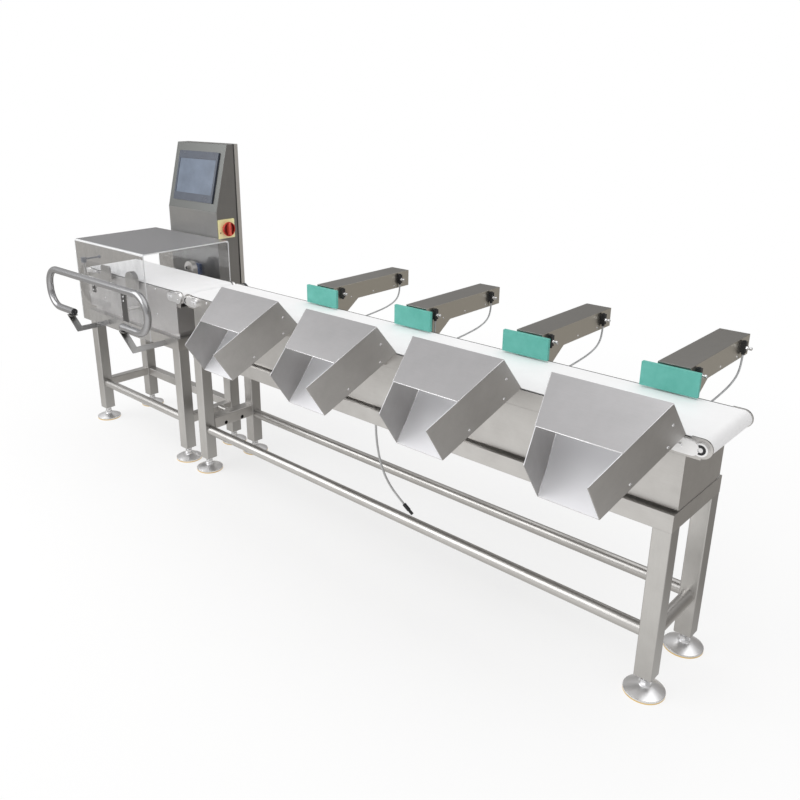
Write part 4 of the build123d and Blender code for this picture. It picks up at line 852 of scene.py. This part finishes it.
# %% [markdown]
# The picture is a plain studio shot on white, so the line stands on one large pale floor. A curved
# backdrop would hide the horizon too, but it looks right from one side only.

# %% Floor
half = 40.0
floor_mesh = bpy.data.meshes.new("floor")
floor_corners = [(-half, -half, 0), (half, -half, 0), (half, half, 0), (-half, half, 0)]
floor_mesh.from_pydata(floor_corners, [], [(0, 1, 2, 3)])
floor = bpy.data.objects.new("floor", floor_mesh)
bpy.context.scene.collection.objects.link(floor)
print("floor", 2 * half, "m wide")

# %% [markdown]
# The floor keeps a soft shadow. Further out it turns into the same white as the world, so there is
# no horizon. Steel shows what stands round it, so for reflections only the floor falls off to a
# warm grey behind the line, and in part at its weighing end, like the dim end of a studio.

# %% Floor finish
floor_white, floor_tree, floor_shader = new_material(
    "floor_white", (0.93, 0.93, 0.93), roughness=0.9
)
floor_shader.inputs["Specular IOR Level"].default_value = 0.0
white_glow = add_node(floor_tree, "ShaderNodeEmission", Color=(1, 1, 1, 1), Strength=1.0)
where = add_node(floor_tree, "ShaderNodeTexCoord").outputs["Object"]
distance = add_node(floor_tree, "ShaderNodeVectorMath", operation="LENGTH")
floor_tree.links.new(where, distance.inputs[0])
white_share, white_from, white_to = 0.68, 0.9, 2.6
far_out = spread(floor_tree, distance.outputs["Value"], white_share, 1.0, white_from, white_to)
seen = layer(floor_tree, far_out, floor_shader.outputs["BSDF"], white_glow.outputs["Emission"])
floor_place = add_node(floor_tree, "ShaderNodeSeparateXYZ")
floor_tree.links.new(where, floor_place.inputs["Vector"])
dim_back = spread(floor_tree, floor_place.outputs["Y"], 0.0, 1.0, -0.7, 0.45)
dim_end = spread(floor_tree, floor_place.outputs["X"], 0.6, 0.0, -2.2, -0.6)
dim = maths(floor_tree, "MAXIMUM", dim_back, dim_end)
mirror_colour = mix(floor_tree, "RGBA", dim, (1.0, 0.99, 0.97), (0.32, 0.305, 0.285))
mirrored = add_node(floor_tree, "ShaderNodeEmission", Strength=1.0)
floor_tree.links.new(mirror_colour, mirrored.inputs["Color"])
glossy_ray = add_node(floor_tree, "ShaderNodeLightPath").outputs["Is Glossy Ray"]
floor_look = layer(floor_tree, glossy_ray, seen, mirrored.outputs["Emission"])
floor_tree.links.new(floor_look, floor_tree.nodes["Material Output"].inputs["Surface"])
floor_mesh.materials.append(floor_white)
print("floor fades to white from", white_from, "to", white_to, "m")

# %% [markdown]
# The world is a plain dome, bright above and in front of the line and dim behind it. A photographed
# studio could light it too, but that takes an image file, and a colour that follows the direction
# does not. The camera, and what is seen straight through the clear cover, get pure white instead.

# %% World
world = bpy.data.worlds.new("studio")
world.use_nodes = True
bpy.context.scene.world = world
sky = world.node_tree
bright_side = (-0.2, -0.6, 0.75)
direction = add_node(sky, "ShaderNodeTexCoord").outputs["Generated"]
toward = add_node(sky, "ShaderNodeVectorMath", operation="DOT_PRODUCT")
toward.inputs[1].default_value = bright_side
sky.links.new(direction, toward.inputs[0])
shade = spread(sky, toward.outputs["Value"], 0.0, 1.0, -0.3, 1.0)
dome = mix(sky, "RGBA", shade, (0.27, 0.26, 0.25), (0.90, 0.90, 0.90))
sky_rays = add_node(sky, "ShaderNodeLightPath").outputs
straight = maths(sky, "MAXIMUM", sky_rays["Is Camera Ray"], sky_rays["Is Transmission Ray"])
backdrop = mix(sky, "RGBA", straight, dome, (1.0, 1.0, 1.0))
background = sky.nodes["Background"]
background.inputs["Strength"].default_value = 1.0
sky.links.new(backdrop, background.inputs["Color"])
print("world ready")

# %% [markdown]
# Two large softboxes light the line: one above and left of the camera, one overhead. Large lamps
# give the soft shadows of a studio, and their reflections draw the bright streaks along the tubes.


# %% Lamps
def softbox(name, location, target, size, power):
    lamp = bpy.data.lights.new(name, "AREA")
    lamp.shape = "RECTANGLE"
    lamp.size, lamp.size_y = size
    lamp.energy = power
    box = bpy.data.objects.new(name, lamp)
    box.location = location
    box.rotation_mode = "QUATERNION"
    box.rotation_quaternion = (Vector(target) - Vector(location)).to_track_quat("-Z", "Y")
    bpy.context.scene.collection.objects.link(box)


softbox("key_softbox", (-2.5, -3.5, 3.4), (0, 0, 0.6), size=(5.0, 4.0), power=124)
softbox("top_softbox", (1.0, 1.2, 4.0), (0, 0, 0), size=(6.0, 4.0), power=56)
print("two softboxes")

# %% [markdown]
# The standard view keeps colours as written.

# %% Finish
bpy.context.scene.view_settings.view_transform = "Standard"
